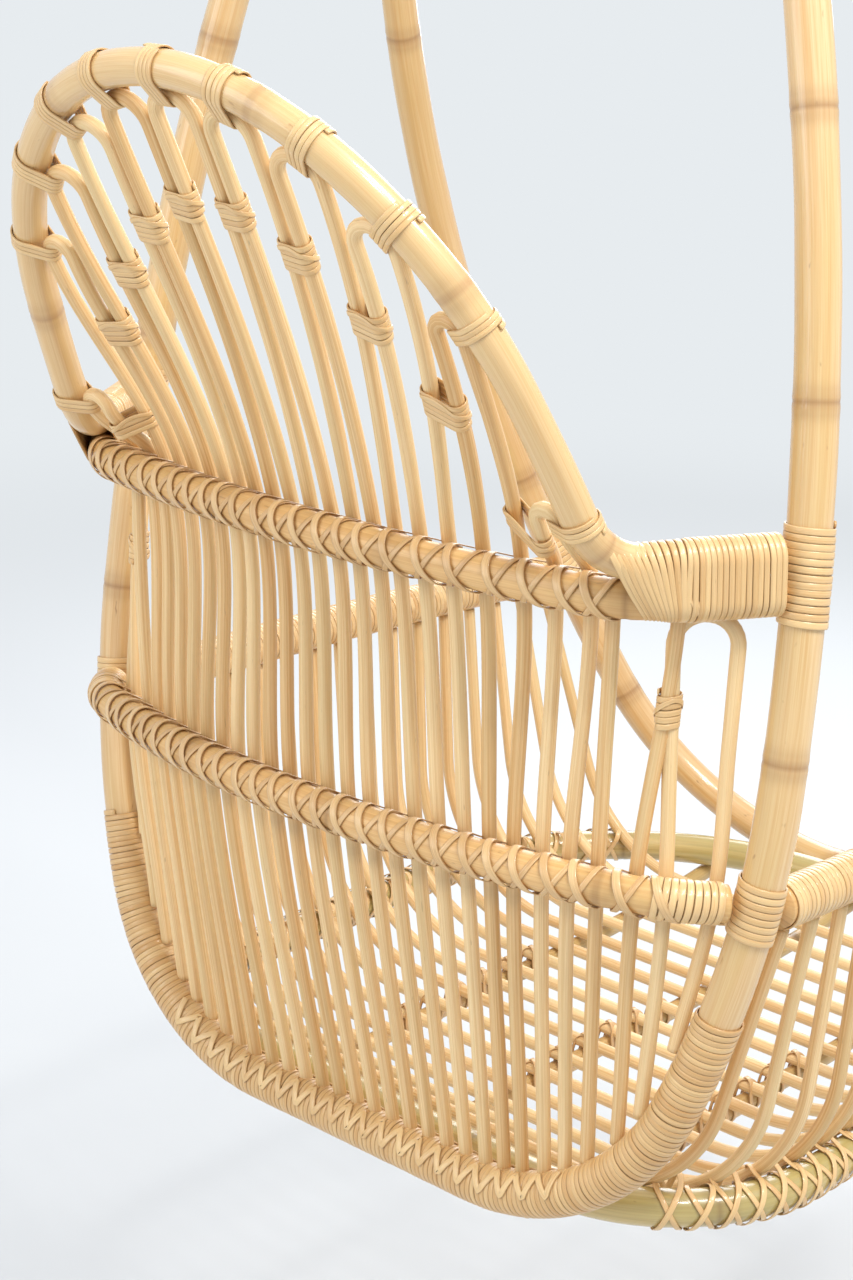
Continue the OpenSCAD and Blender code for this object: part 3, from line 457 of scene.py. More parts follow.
def arch_in(u: float, off: float) -> tuple[float, float]:
    """The arch's outline moved inward.

    On each arc the depth is the centre's less sqrt(radius^2 - (u - centre)^2).

    Args:
        u: half width.
        off: how far the outline is moved inward.

    Returns:
        Its depth below the top, and its slope.
    """
    (r0, t0), (r1, _), (r2, _) = ARCH_SHAPE
    c1x, c1v = (r0 - r1) * sin(t0), r0 - (r0 - r1) * cos(t0)
    c2x, c2v = c1x + (r1 - r2) * sin(ARCH_TURN1), c1v - (r1 - r2) * cos(ARCH_TURN1)
    if u < (r0 - off) * sin(t0):
        cx, cv, r = 0.0, r0, r0 - off
    elif u < c1x + (r1 - off) * sin(ARCH_TURN1):
        cx, cv, r = c1x, c1v, r1 - off
    else:
        cx, cv, r = c2x, c2v, r2 - off
    return cv - math.sqrt(r * r - (u - cx) ** 2), math.degrees(math.asin((u - cx) / r))


# ---- Where the rims, ring, rods and runners run ------------------------------------------
RIM_REAR, RIM_FRONT = hoop_at(REAR, Z.rim_rear_z), hoop_at(FRONT, Z.rim_front_z)


def rim_path() -> Path:
    """The left arm rim: an arc that bows outward between the two wrapped uprights.

    With chord c and bow b its radius is (c^2 / 4 + b^2) / 2b.

    Returns:
        The path, cut clear of the wraps.
    """
    chord = float(np.linalg.norm(RIM_FRONT - RIM_REAR))
    r = (chord**2 / 4 + Z.rim_bow**2) / (2 * Z.rim_bow)
    half = math.degrees(math.asin(chord / 2 / r))
    h = unit(RIM_FRONT - RIM_REAR)
    side = -unit(np.cross(vec(0, 0, 1), h))
    cuts = [((BUTT + Z.rim_d / 2 * sin(q)) / cos(q) + Z.gap) / r for q in (Z.rear_lean, FRONT_LEAN)]
    start = (RIM_REAR, h * cos(half) - side * sin(half), side * cos(half) + h * sin(half))
    full = trace(start, [[r, 2 * half]])
    keep = (full.s > cuts[0] * r) & (full.s < full.length - cuts[1] * r)
    return Path(full.s[keep] - full.s[keep][0], full.p[keep], full.t[keep], full.ref)


RIM = rim_path()
RING_REAR_Y = REAR_Y - WRAP_R - Z.ring_d / 2 - Z.gap
RING_FRONT_Y = -Z.front_reach + Z.pole_d / 2 + Z.ring_d / 2 + Z.gap
RING_R = Z.ring_w / 2 - Z.ring_front_flat
RING_CY = RING_REAR_Y - Z.ring_corner
RING_FY = RING_FRONT_Y + RING_R
RING = trace((vec(0, RING_REAR_Y, 0), vec(1, 0, 0), vec(0, -1, 0)),
             [[0, Z.ring_w / 2 - Z.ring_corner], [Z.ring_corner, 90], [0, RING_CY - RING_FY],
              [RING_R, 90], [0, Z.ring_front_flat]])


def ring_half(y: float, off: float) -> tuple[float, float]:
    """The ring's outline moved inward.

    Args:
        y: place from front to back.
        off: how far the outline is moved inward.

    Returns:
        Its half width, and the cosine of its slant.
    """
    if y > RING_CY:
        r, dy, flat = Z.ring_corner - off, y - RING_CY, Z.ring_w / 2 - Z.ring_corner
    elif y < RING_FY:
        r, dy, flat = RING_R - off, y - RING_FY, Z.ring_front_flat
    else:
        return Z.ring_w / 2 - off, 1.0
    return flat + math.sqrt(r * r - dy * dy), math.sqrt(1 - (dy / r) ** 2)


def rim_at(y: float) -> Array:
    """Point of the left rim's line at y: the chord, bowed out by bow times 4 t (1 - t)."""
    t = (y - RIM_REAR[1]) / (RIM_FRONT[1] - RIM_REAR[1])
    return RIM_REAR + (RIM_FRONT - RIM_REAR) * t + vec(Z.rim_bow * 4 * t * (1 - t), 0, 0)


def rod_y(i: float) -> float:
    """Place of seat rod i from the rear to the front."""
    return Z.rear_rod_y + (Z.front_rod_y - Z.rear_rod_y) * i / (Z.rods - 1)


def seat_rod(y: float) -> Path:
    """A seat rod: flat over the ring, one bend each side, then straight up to the rims.

    The straight run is the tangent from the rim to the bend's circle.

    Args:
        y: the rod's place.

    Returns:
        Its whole path.
    """
    off = ((Z.ring_d + Z.spindle_d) / 2 + Z.gap) * math.sqrt(0.5)
    w, slant = ring_half(y, off)
    f = math.degrees(math.atan(slant))
    z0, a = off - Z.rod_bend * (1 - cos(f)), w - Z.rod_bend * sin(f)
    top = rim_at(y) - vec(0, 0, Z.rim_d / 2 + 2 * Z.gap + Z.wrap_t + Z.rod_clear)
    dx, dz = top[0] - a, top[2] - z0 - Z.rod_bend
    run = math.sqrt(dx * dx + dz * dz - Z.rod_bend**2)
    turn = math.degrees(math.atan2(dz, dx)) + 90 - math.degrees(math.atan2(run, Z.rod_bend))
    start = (vec(0, y, z0), vec(1, 0, 0), vec(0, 0, 1))
    return trace(start, [[0, a], [Z.rod_bend, turn], [0, run]]).doubled()


SEAT_Z = float(seat_rod((RING_CY + RING_FY) / 2).point(0)[2])
RUNNER_Z = SEAT_Z - (Z.spindle_d + Z.runner_d) / 2 - Z.gap
RUNNER_END_Z = -(Z.ring_d + Z.runner_d) / 2 - Z.gap


def runner_path(x: float) -> Path:
    """A runner under the seat rods: flat, then bent down at both ends under the ring.

    An end of run n and drop d has radius (n^2 + d^2) / 2d.

    Args:
        x: the runner's place.

    Returns:
        Its path from the front to the back.
    """
    front_y = RING_FY - math.sqrt(RING_R**2 - max(0, abs(x) - Z.ring_front_flat) ** 2)
    mid, rise = (RING_CY + RING_FY) / 2, RUNNER_END_Z - RUNNER_Z
    ends = ((1, RING_CY - mid, RING_REAR_Y - RING_CY), (-1, mid - RING_FY, RING_FY - front_y))
    halves = []
    for sign, flat, reach in ends:
        run = reach + Z.runner_past
        r = (run * run + rise * rise) / (2 * abs(rise))
        up = vec(0, 0, math.copysign(1, rise))
        moves = [[0, flat], [r, math.degrees(math.asin(run / r))]]
        halves.append(trace((vec(x, mid, RUNNER_Z), vec(0, sign, 0), up), moves))
    return Path.through(np.concatenate([halves[1].p[::-1], halves[0].p[1:]]), vec(1, 0, 0))


# ---- Where the spindles run --------------------------------------------------------------
LEG_OFF = Z.rail_d / 2 + Z.gap + Z.lash_t + Z.gap + Z.spindle_d / 2 + Z.leg_clear
FOOT_DEPTH = 9.0
LEG_STEP = 6
CREST_STEP = 7.5


def leg_x(numbers: tuple, k: int, s: int) -> float:
    """Half width of a leg: s is 1 for a hairpin's outer leg and -1 for its inner one."""
    place = 0 if k == 0 else 2 * k - (1 if s < 0 else 0)
    return Z.leg_pitch * numbers[place] * (s if k == 0 else 1)


def low_pt(k: int, s: int) -> Array:
    """Where a leg passes the lower rail, on its inner side."""
    x = leg_x(LOW_N, k, s)
    return LOWER_F[0] + vec(x, 0, 0) + LOWER_F[2] * rail_v(LOWER_SHAPE, abs(x), LEG_OFF)


def up_pt(k: int, s: int, m: int) -> Array:
    """Where a leg passes the upper rail.

    The legs drift to one side by drift (1 - (x / reach)^2).

    Args:
        k: the hairpin.
        s: 1 for its outer leg, -1 for its inner one.
        m: 1 on the left half and -1 on the right.

    Returns:
        The point, on the left half.
    """
    x = leg_x(UP_N, k, s)
    x += m * Z.leg_drift * max(0.0, 1 - (x / Z.drift_reach) ** 2)
    depth = rail_v(UPPER_SHAPE, abs(x), LEG_OFF + UP_SPARE[k])
    return UPPER_F[0] + vec(x, 0, 0) + UPPER_F[2] * depth


def crest_off(k: int) -> float:
    """Distance of a hairpin's crest centre inside the arch."""
    return (Z.arch_d + Z.spindle_d) / 2 + Z.gap + CREST_W[k]


def shoulder(k: int, s: int) -> Array:
    """Where a leg meets its half-round top.

    Args:
        k: the hairpin.
        s: 1 for its outer leg, -1 for its inner one.

    Returns:
        The point, on the left half.
    """
    if k <= LAST_ARCHED:
        return arch_point(CREST_U[k] + s * CREST_W[k], arch_in(CREST_U[k], crest_off(k))[0])
    if k == RAIL_PIN:
        return up_pt(RAIL_PIN, s, 1) + vec(0, 0, RAIL_PIN_RISE)
    x = (leg_x(LOW_N, k, -1) + leg_x(LOW_N, k, 1)) / 2 - END_PIN_IN + s * Z.end_crest_w
    z = Z.upper_z - Z.rail_d / 2 - Z.wrap_t - Z.spindle_d / 2 - Z.end_crest_w - END_PIN_DROP
    return vec(x, up_pt(RAIL_PIN, 1, 1)[1] - END_PIN_FORWARD * (1 + s), z)


def hoop_in(x: float, off: float) -> tuple[float, float]:
    """The rear hoop's outline moved inward.

    Args:
        x: half width.
        off: how far the outline is moved inward.

    Returns:
        Its height in the hoop's plane, and its slope.
    """
    sh, w = REAR_SHAPE, Z.hoop_w / 2
    if x < sh.flat:
        return off, 0.0
    cx, cz, r = sh.flat, sh.corner_r, sh.corner_r - off
    if x >= sh.flat + r * sin(sh.corner_turn):
        side = side_radius(sh, w)
        cx, cz, r = w - side, belly(sh, w), side - off
    return cz - math.sqrt(r**2 - (x - cx) ** 2), math.degrees(math.asin((x - cx) / r))


def foot(k: int, s: int) -> Array:
    """Where a leg stands on the hoop's bottom wrap.

    A leg that leans by angle q from the wrap's normal stands with its edge on the wrap, so its
    centre is r sin q above it.

    Args:
        k: the hairpin.
        s: 1 for its outer leg, -1 for its inner one.

    Returns:
        The point, on the left half.
    """
    low, r = low_pt(k, s), Z.spindle_d / 2
    x = low[0] * Z.leg_fan
    h, tilt = hoop_in(abs(x), WRAP_R + Z.gap + r)
    base = REAR_F[0] + vec(x, 0, 0)
    n = vec(-sin(tilt) * np.sign(x), 0, 0) + REAR_F[2] * cos(tilt)
    c = unit(low - base - REAR_F[2] * h) @ n
    return base + REAR_F[2] * hoop_in(abs(x), WRAP_R + Z.gap + r * math.sqrt(1 - c * c))[0]


def hermite(a: Array, b: Array, ma: Array, mb: Array) -> Array:
    """Cubic from a to b in height, without its last point.

    At share t it is a (2t^3 - 3t^2 + 1) + b (3t^2 - 2t^3) + h ma (t^3 - 2t^2 + t)
    + h mb (t^3 - t^2), with h the rise.

    Args:
        a: first point.
        b: last point.
        ma: change of the point per unit of height at a.
        mb: the same at b.

    Returns:
        Points along it.
    """
    h = b[2] - a[2]
    n = max(2, round(h / LEG_STEP))
    t = (np.arange(n) / n)[:, None]
    return (a * (2 * t**3 - 3 * t**2 + 1) + b * (3 * t**2 - 2 * t**3)
            + ma * h * (t**3 - 2 * t**2 + t) + mb * h * (t**3 - t**2))


def slope(a: Array, b: Array) -> Array:
    """Change of the point per unit of height from a to b."""
    return (b - a) / (b[2] - a[2])


def middle_slope(a: Array, b: Array, c: Array) -> Array:
    """Slope at b of the parabola through three points: each chord weighs as the other's rise."""
    h1, h2 = b[2] - a[2], c[2] - b[2]
    return (h2 * (b - a) / h1 + h1 * (c - b) / h2) / (h1 + h2)


def leg_line(k: int, s: int, m: int) -> Array:
    """One leg: three cubics through its foot, the two rails and its shoulder.

    Args:
        k: the hairpin.
        s: 1 for its outer leg, -1 for its inner one.
        m: 1 on the left half and -1 on the right.

    Returns:
        Points from the foot up, on the left half.
    """
    p0, p1, p3 = foot(k, s), low_pt(k, s), shoulder(k, s)
    p2 = up_pt(k, s, m) if k < END_PIN else p1 + (p3 - p1) * END_PIN_KNEE
    m1 = middle_slope(p0, p1, p2)
    if k <= LAST_ARCHED:
        m2, m3 = slope(p1, p3), ARCH_DOWN / ARCH_DOWN[2]
    else:
        m2 = vec(0, 0, 1) if k == RAIL_PIN else middle_slope(p1, p2, p3)
        m3 = slope(p2, p3)
    spans = ((p0, p1, slope(p0, p1), m1), (p1, p2, m1, m2), (p2, p3, m2, m3))
    return np.concatenate([hermite(*span) for span in spans])


def hairpin(k: int, m: int) -> Path:
    """A spindle: two legs joined by a half circle, whose feet go into the bottom wrap.

    Args:
        k: the hairpin.
        m: 1 on the left half and -1 on the right.

    Returns:
        Its path from one foot to the other.
    """
    a, b = shoulder(k, -1), shoulder(k, 1)
    up = -ARCH_DOWN if k <= LAST_ARCHED else vec(0, 0, 1)
    q = np.radians(np.arange(0, 180 + CREST_STEP / 2, CREST_STEP))[:, None]
    crest = (a + b) / 2 + np.linalg.norm(b - a) / 2 * (-unit(b - a) * np.cos(q) + up * np.sin(q))
    legs = [leg_line(k, s, m) for s in (-1, 1)]
    legs = [np.concatenate([leg[:1] - unit(leg[1] - leg[0]) * FOOT_DEPTH, leg]) for leg in legs]
    points = np.concatenate([legs[0], crest, legs[1][::-1]])
    return Path.through(points * vec(m, 1, 1), vec(0, 1, 0))


# ---- Meshes ------------------------------------------------------------------------------
@dataclass
class Part:
    """A mesh before it is made: points in chair millimetres, quads, and what its finish reads."""

    points: Array
    quads: Array
    uv: Array
    tone: Array
    mark: Array


@dataclass(frozen=True)
class NodeRing:
    """A cane's node ring: its swelling, the groove in it, the dark line and the shadow."""

    rise: float = 0.5
    rise_w: float = 7
    groove: float = 0.5
    groove_w: float = 1.6
    line_w: float = 2.6
    shadow: float = 0.45
    shadow_at: float = 7
    shadow_w: float = 6


@dataclass(frozen=True)
class Cane:
    """How finely a cane is made, and how uneven it is."""

    sides: int = 32
    step: float = 3
    sag: float = 0.25


RING_MARK = NodeRing()
WHOLE_CANE, RUNNER_CANE, THIN_CANE = Cane(), Cane(sides=24), Cane(18, 5, 0.12)
NO_RING = 99.0  # distance to a node ring on a cane without one
WAVES = ((0.011, 1), (0.023, 2), (0.05, 0))  # radians along each millimetre, and waves round
WAVE_SHARE = 0.6
WAVE_STARTS = (0, 6.3)
ARC_POINTS = 90
STRIP = np.array([[-1, 0.3], [-0.93, 0.8], [-0.55, 0.97], [0.55, 0.97], [0.93, 0.8], [1, 0.3],
                  [0.9, 0], [-0.9, 0]])  # a split strip's section over its half width and thickness
MIDDLE_TONE = 0.55
MIRROR_UV = vec(3.1, 0)  # shifts the grain of a mirrored part


def grid_quads(n: int, m: int, loop: bool = False) -> Array:
    """Quads between rings of points.

    Args:
        n: number of rings.
        m: points in each, an even number.
        loop: whether the last ring meets the first; otherwise quads close both ends.

    Returns:
        Four point numbers for each quad.
    """
    i, j = np.meshgrid(np.arange(n if loop else n - 1), np.arange(m), indexing="ij")
    k, up = (j + 1) % m, (i + 1) % n
    sides = np.stack([i * m + j, i * m + k, up * m + k, up * m + j], -1).reshape(-1, 4)
    if loop:
        return sides
    c = np.arange(m // 2 - 1)
    cap = np.stack([c, m - 1 - c, m - 2 - c, c + 1], -1)
    return np.concatenate([sides, cap, cap[:, ::-1] + (n - 1) * m])


def swept(rings: Array, s: Array, tone: Values, mark: Array, loop: bool = False) -> Part:
    """Part from rings of points.

    Args:
        rings: points, ring by ring.
        s: distance of each ring along the part.
        tone: shade of the part or of each ring.
        mark: darkness of each ring's node line and of its painted shadow.
        loop: whether the last ring meets the first.

    Returns:
        The part; its uv is the distance in metres and the share round.
    """
    n, m = rings.shape[:2]
    uv = np.stack(np.broadcast_arrays((s / MM_PER_M)[:, None], np.arange(m)[None] / m), -1)
    tones = np.broadcast_to(np.asarray(tone, float).reshape(-1, 1), (n, m))
    marks = np.broadcast_to(mark[:, None], (n, m))
    return Part(rings.reshape(-1, 3), grid_quads(n, m, loop), uv.reshape(-1, 2),
                tones.reshape(-1), marks.reshape(-1))


def joined(parts: list[Part]) -> Part:
    """Joins several parts.

    Args:
        parts: the parts.

    Returns:
        One part with all their points and quads.
    """
    starts = np.cumsum([0] + [len(p.points) for p in parts])
    quads = np.concatenate([p.quads + start for p, start in zip(parts, starts)])
    points, uv, tone, mark = (np.concatenate([getattr(p, key) for p in parts])
                              for key in ("points", "uv", "tone", "mark"))
    return Part(points, quads, uv, tone, mark)


def on_side(part: Part, m: int) -> Part:
    """Puts a part that was made for the left on one side.

    Args:
        part: the part.
        m: 1 for the left and -1 for the right.

    Returns:
        The part itself, or its reflection in the middle plane.
    """
    if m > 0:
        return part
    flip = vec(-1, 1, 1)
    return Part(part.points * flip, part.quads[:, ::-1], part.uv + MIRROR_UV, part.tone, part.mark)


def on_both_sides(make: Callable[[], Part]) -> Part:
    """A part made for the left, and made anew and reflected for the right."""
    left, right = make(), make()
    return joined([left, on_side(right, -1)])


def bell(x: Array, width: float) -> Array:
    """The bell curve exp(-(x / width)^2)."""
    return np.exp(-((x / width) ** 2))


def some_tone(rng: Rng, middle: float, spread: float, low: float = 0, high: float = 1) -> float:
    """One shade about a middle, kept between low and high."""
    return float(np.clip(middle + rng.normal(0, spread), low, high))


def pole(path: Path, d: float, rng: Rng, tone: float, nodes: tuple = (),
         cane: Cane = WHOLE_CANE) -> Part:
    """A whole cane, round but for slow waves, with a slight swelling at each node ring.

    At distance x from a ring its radius grows by rise exp(-(x / rise_w)^2)
    - groove exp(-(x / groove_w)^2).

    Args:
        path: centreline.
        d: diameter.
        rng: source of the unevenness.
        tone: shade from 0, dark, to 1, pale.
        nodes: distances of the node rings along the path.
        cane: how finely it is made, and how uneven it is.

    Returns:
        The part.
    """
    s = np.arange(path.s[0], path.s[-1] + cane.step / 2, cane.step)
    s[-1] = path.s[-1]
    p, _, a, b = path.at(s)
    q = 2 * np.pi * np.arange(cane.sides) / cane.sides
    x = s[:, None] - np.asarray(nodes, float)[None] if nodes else np.full((len(s), 1), NO_RING)
    x = np.abs(x).min(1)
    waves = sum(cane.sag * np.sin(s[:, None] * along + q * turns + rng.uniform(*WAVE_STARTS))
                for along, turns in WAVES)
    ring = RING_MARK
    swell = ring.rise * bell(x, ring.rise_w) - ring.groove * bell(x, ring.groove_w)
    r = (d / 2 - cane.sag + waves * WAVE_SHARE + swell[:, None])[..., None]
    out = np.cos(q)[None, :, None] * a[:, None] + np.sin(q)[None, :, None] * b[:, None]
    # the node's dark line, and a painted shadow of its swelling just beside it
    mark = bell(x, ring.line_w) + ring.shadow * bell(x - ring.shadow_at, ring.shadow_w)
    return swept(p[:, None] + r * out, s, tone, mark)


def ribbon(p: Array, out: Array, width: Values, thick: float, tone: Values,
           loop: bool = False) -> Part:
    """A split cane strip whose section is carried along a line of points.

    Args:
        p: points of the line.
        out: direction that its rounded face is turned to, at each point.
        width: width of the strip.
        thick: thickness.
        tone: shade, or a shade at each point.
        loop: whether the line is closed.

    Returns:
        The part; its uv is the distance in metres and the place across its width from 0 to 1.
    """
    t = unit(np.roll(p, -1, 0) - np.roll(p, 1, 0) if loop else np.gradient(p, axis=0))
    side = unit(np.cross(t, out))
    up = np.cross(side, t)
    w = np.broadcast_to(np.asarray(width, float), len(p))[:, None, None] / 2
    across, height = STRIP[None, :, :1], STRIP[None, :, 1:]
    rings = p[:, None] + side[:, None] * across * w + up[:, None] * height * thick
    part = swept(rings, run_lengths(p), tone, np.zeros(len(p)), loop)
    part.uv[:, 1] = np.tile(STRIP[:, 0] / 2 + 0.5, len(p))
    return part


def turn_noise(q: Array, rng: Rng, size: float) -> Array:
    """Smooth random offsets, one new value for each turn."""
    knots = rng.normal(0, size, int(q[-1]) + 3)
    return np.interp(q, np.arange(len(knots)), knots)


def turn_tone(q: Array, rng: Rng, spread: float = 0.16) -> Array:
    """A shade for each turn."""
    tones = MIDDLE_TONE + rng.normal(0, spread, int(q[-1]) + 2)
    return np.clip(tones, 0, 1)[q.astype(int)]


@dataclass(frozen=True)
class Winding:
    """How a strip is wound: pitch, share of it covered, thickness, lift, and unevenness."""

    pitch: float
    cover: float = 0.99
    thick: float = 1.5
    lift: float = 0.0
    steps: int = 26
    drift: float = 0.05
    wobble: float = 0.12
    tones: float = 0.16


@dataclass(frozen=True)
class GripWinding(Winding):
    """How a strip is wound round two canes at once."""

    cover: float = 0.98
    lift: float = 0.1
    steps: int = 44
    drift: float = 0.06
    tones: float = 0.12


def coil(path: Path, ends: tuple[float, float], r: float, w: Winding, rng: Rng) -> Part:
    """A strip wound round a pole: each turn goes round by 2 pi and on by the pitch.

    Args:
        path: the pole's centreline.
        ends: distances along it between which the strip lies.
        r: radius of the strip's inner face.
        w: how it is wound.
        rng: source of the unevenness.

    Returns:
        The part.
    """
    turns = (ends[1] - ends[0] - w.pitch) / w.pitch
    q = np.arange(0, turns, 1 / w.steps)
    s = ends[0] + w.pitch / 2 + w.pitch * q + turn_noise(q, rng, w.pitch * w.drift)
    p, _, a, b = path.at(s)
    turn = 2 * np.pi * q[:, None]
    out = np.cos(turn) * a + np.sin(turn) * b
    rise = turn_noise(q, rng, w.wobble)[:, None]
    tone = turn_tone(q, rng, w.tones)
    return ribbon(p + out * (r + rise), out, w.pitch * w.cover, w.thick, tone)


def round_both(r1: float, r2: float, d: float, share: Array) -> tuple[Array, Array]:
    """Outline of a band pulled tight round two circles.

    It leaves the circles where the angle is acos((r1 - r2) / d).

    Args:
        r1: radius of the first circle.
        r2: radius of the second.
        d: distance between their centres.
        share: shares of the outline's length, with 0 on the first circle's far side.

    Returns:
        The outline's points there, and its outward normals.
    """
    open_a = math.acos((r1 - r2) / d)
    angles = [np.linspace(a, b, ARC_POINTS) for a, b in ((math.pi, open_a), (open_a, 0))]
    rays = [np.stack([np.cos(t), np.sin(t)], -1) for t in angles]
    half = np.concatenate([r1 * rays[0], vec(d, 0) + r2 * rays[1]])
    points, normals = (np.concatenate([side, (side * vec(1, -1))[::-1][1:]])
                       for side in (half, np.concatenate(rays)))
    s = run_lengths(points)
    at = np.mod(share, 1) * s[-1]
    return columns(at, s, points), unit(columns(at, s, normals))


@dataclass(frozen=True)
class Lap:
    """One closed slanting turn of a strip.

    At share q it moves along the canes by lean sin(2 pi (q - phase)) + bow cos(2 pi q)^2 where
    the cosine is positive.
    """

    lean: float
    width: float
    lift: float
    thick: float = 1.0
    bow: float = 0.0
    phase: float = 0.0
    tone: float = MIDDLE_TONE


@dataclass(frozen=True)
class Grip:
    """Two canes bound together: the first one's centre, the way to the second, their heading."""

    centre: Array
    across: Array
    along: Array
    r1: float
    r2: float
    d: float

    @classmethod
    def between(cls, a: Array, b: Array, along: Array, r1: float, r2: float) -> "Grip":
        """The grip round two canes.

        Args:
            a: a point of the first.
            b: a point of the second.
            along: their heading; the way across is square to it.
            r1: radius of the first, to the strip's inner face.
            r2: radius of the second.

        Returns:
            The grip.
        """
        across = b - a - along * ((b - a) @ along)
        d = float(np.linalg.norm(across))
        return cls(a, across / d, along, r1, r2, d)

    def strip(self, share: Array, shift: Array, lift: float, width: float, thick: float,
              tone: Values, loop: bool = False) -> Part:
        """A strip round both canes.

        Args:
            share: shares of the way round, at each point.
            shift: how far each point is moved along the canes.
            lift: distance of the strip's inner face from the canes.
            width: width of the strip.
            thick: thickness.
            tone: shade, or a shade at each point.
            loop: whether it is closed.

        Returns:
            The part.
        """
        o, n = round_both(self.r1 + lift, self.r2 + lift, self.d, share)
        side = np.cross(self.along, self.across)
        p = self.centre + o[:, :1] * self.across + o[:, 1:] * side + shift[:, None] * self.along
        return ribbon(p, n[:, :1] * self.across + n[:, 1:] * side, width, thick, tone, loop)

    def coil(self, turns: float, w: GripWinding, rng: Rng) -> Part:
        """Turns wound side by side, centred on the grip.

        Args:
            turns: how many.
            w: how they are wound.
            rng: source of the unevenness.

        Returns:
            The part.
        """
        q = np.arange(0, turns, 1 / w.steps)
        shift = (q - turns / 2) * w.pitch + turn_noise(q, rng, w.pitch * w.drift)
        tone = turn_tone(q, rng, w.tones)
        return self.strip(q, shift, w.lift, w.pitch * w.cover, w.thick, tone)

    def lap(self, lap: Lap, points: int = 48) -> Part:
        """One closed slanting turn.

        Args:
            lap: how it lies.
            points: how many points it has.

        Returns:
            The part.
        """
        q = 0.5 + np.arange(points) / points
        shift = lap.lean * np.sin(2 * np.pi * (q - lap.phase))
        shift = shift + lap.bow * np.maximum(0, np.cos(2 * np.pi * q)) ** 2
        return self.strip(q, shift, lap.lift, lap.width, lap.thick, lap.tone, True)


# ---- Materials ---------------------------------------------------------------------------
class Slot(Enum):
    """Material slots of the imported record."""

    HOOP = "hoop_rattan"
    ARCH = "arch_rattan"
    RAIL = "rail_rattan"
    RING = "ring_rattan"
    RUNNER = "runner_rattan"
    CANE = "peeled_cane"
    PALE = "pale_cane_binding"
    GOLD = "golden_cane_binding"
    BRIGHT = "bright_steel"
    FASTENER = "fastener_steel"
    BRACKET = "bracket_steel"


@dataclass(frozen=True)
class CaneFinish:
    """Colours (linear) and gloss of a cane, how strongly each mark of its fibres shows, and its
    painted shade.
    """

    name: str
    pale: tuple
    deep: tuple
    tint: tuple
    node: tuple
    rough: float
    coat: float
    streak: float
    bump: float
    strip: bool = False
    tone_gain: float = 1.5
    patch: float = 0.5
    fibre: float = 0.5
    fibre_range: tuple[float, float] = (0.42, 0.72)
    scar: float = 0.55
    # strength of the mark: node lines, their painted shadows, and the painted shade below the rails
    ring: float = 0.62
    # strength of the painted shade along a strip's edges, and where across the strip it begins
    edge: float = 0.45
    edge_range: tuple[float, float] = (0.4, 0.5)
    strip_girth: float = 0.45
    strip_stretch: float = 3.0
    bump_depth: float = 0.0006
    rough_gain: float = 0.12
    coat_rough: float = 0.12
    ior: float = 1.45
    soft: float = 0.06
    soft_radius: tuple = (0.004, 0.002, 0.001)


@dataclass(frozen=True)
class SteelFinish:
    """Colour (linear) and gloss of a metal, and its grain."""

    name: str
    colour: tuple
    metallic: float
    rough: float
    grain: float = 320.0
    grain_detail: float = 3.0
    grain_share: float = 0.35
    grain_dark: float = 0.55
    grain_rough: float = 0.2
    bump: float = 0.2
    bump_depth: float = 0.0002


LOOKS = {
    Slot.HOOP: CaneFinish("hoop_rattan_look", (0.74, 0.53, 0.28), (0.58, 0.31, 0.095),
                          (0.64, 0.44, 0.17), (0.30, 0.14, 0.045), 0.34, 0.75, 0.5, 0.25),
    Slot.ARCH: CaneFinish("arch_rattan_look", (0.74, 0.51, 0.245), (0.60, 0.34, 0.115),
                          (0.72, 0.50, 0.23), (0.40, 0.21, 0.08), 0.33, 0.8, 0.42, 0.2),
    Slot.RAIL: CaneFinish("rail_rattan_look", (0.80, 0.51, 0.22), (0.58, 0.31, 0.10),
                          (0.58, 0.38, 0.14), (0.27, 0.13, 0.04), 0.42, 0.3, 0.55, 0.25),
    Slot.RING: CaneFinish("ring_rattan_look", (0.62, 0.47, 0.19), (0.40, 0.28, 0.09),
                          (0.36, 0.31, 0.10), (0.22, 0.13, 0.04), 0.3, 0.8, 0.6, 0.2),
    Slot.RUNNER: CaneFinish("runner_rattan_look", (0.70, 0.47, 0.21), (0.46, 0.27, 0.09),
                            (0.45, 0.34, 0.13), (0.25, 0.13, 0.05), 0.42, 0.4, 0.55, 0.25),
    Slot.CANE: CaneFinish("peeled_cane_look", (0.88, 0.65, 0.35), (0.58, 0.31, 0.095),
                          (0.66, 0.50, 0.25), (0.42, 0.29, 0.15), 0.46, 0.22, 0.55, 0.4),
    Slot.PALE: CaneFinish("pale_strip_look", (0.80, 0.56, 0.27), (0.56, 0.30, 0.10),
                          (0.70, 0.48, 0.24), (0.3, 0.16, 0.06), 0.36, 0.45, 0.5, 0.2, strip=True),
    Slot.GOLD: CaneFinish("golden_strip_look", (0.78, 0.53, 0.26), (0.47, 0.25, 0.09),
                          (0.58, 0.37, 0.16), (0.28, 0.14, 0.05), 0.38, 0.4, 0.55, 0.2, strip=True),
    Slot.BRIGHT: SteelFinish("bright_steel_look", (0.62, 0.63, 0.64), 1.0, 0.25),
    Slot.FASTENER: SteelFinish("fastener_steel_look", (0.5, 0.51, 0.52), 1.0, 0.3),
    Slot.BRACKET: SteelFinish("bracket_steel_look", (0.03, 0.028, 0.026), 0.0, 0.42),
}


@dataclass(frozen=True)
class Grain:
    """One noise of the cane: its size round and along, and how it is spread from low to high."""

    round: float
    along: float
    scale: float
    detail: float
    rough: float
    low: float | None = None
    high: float | None = None


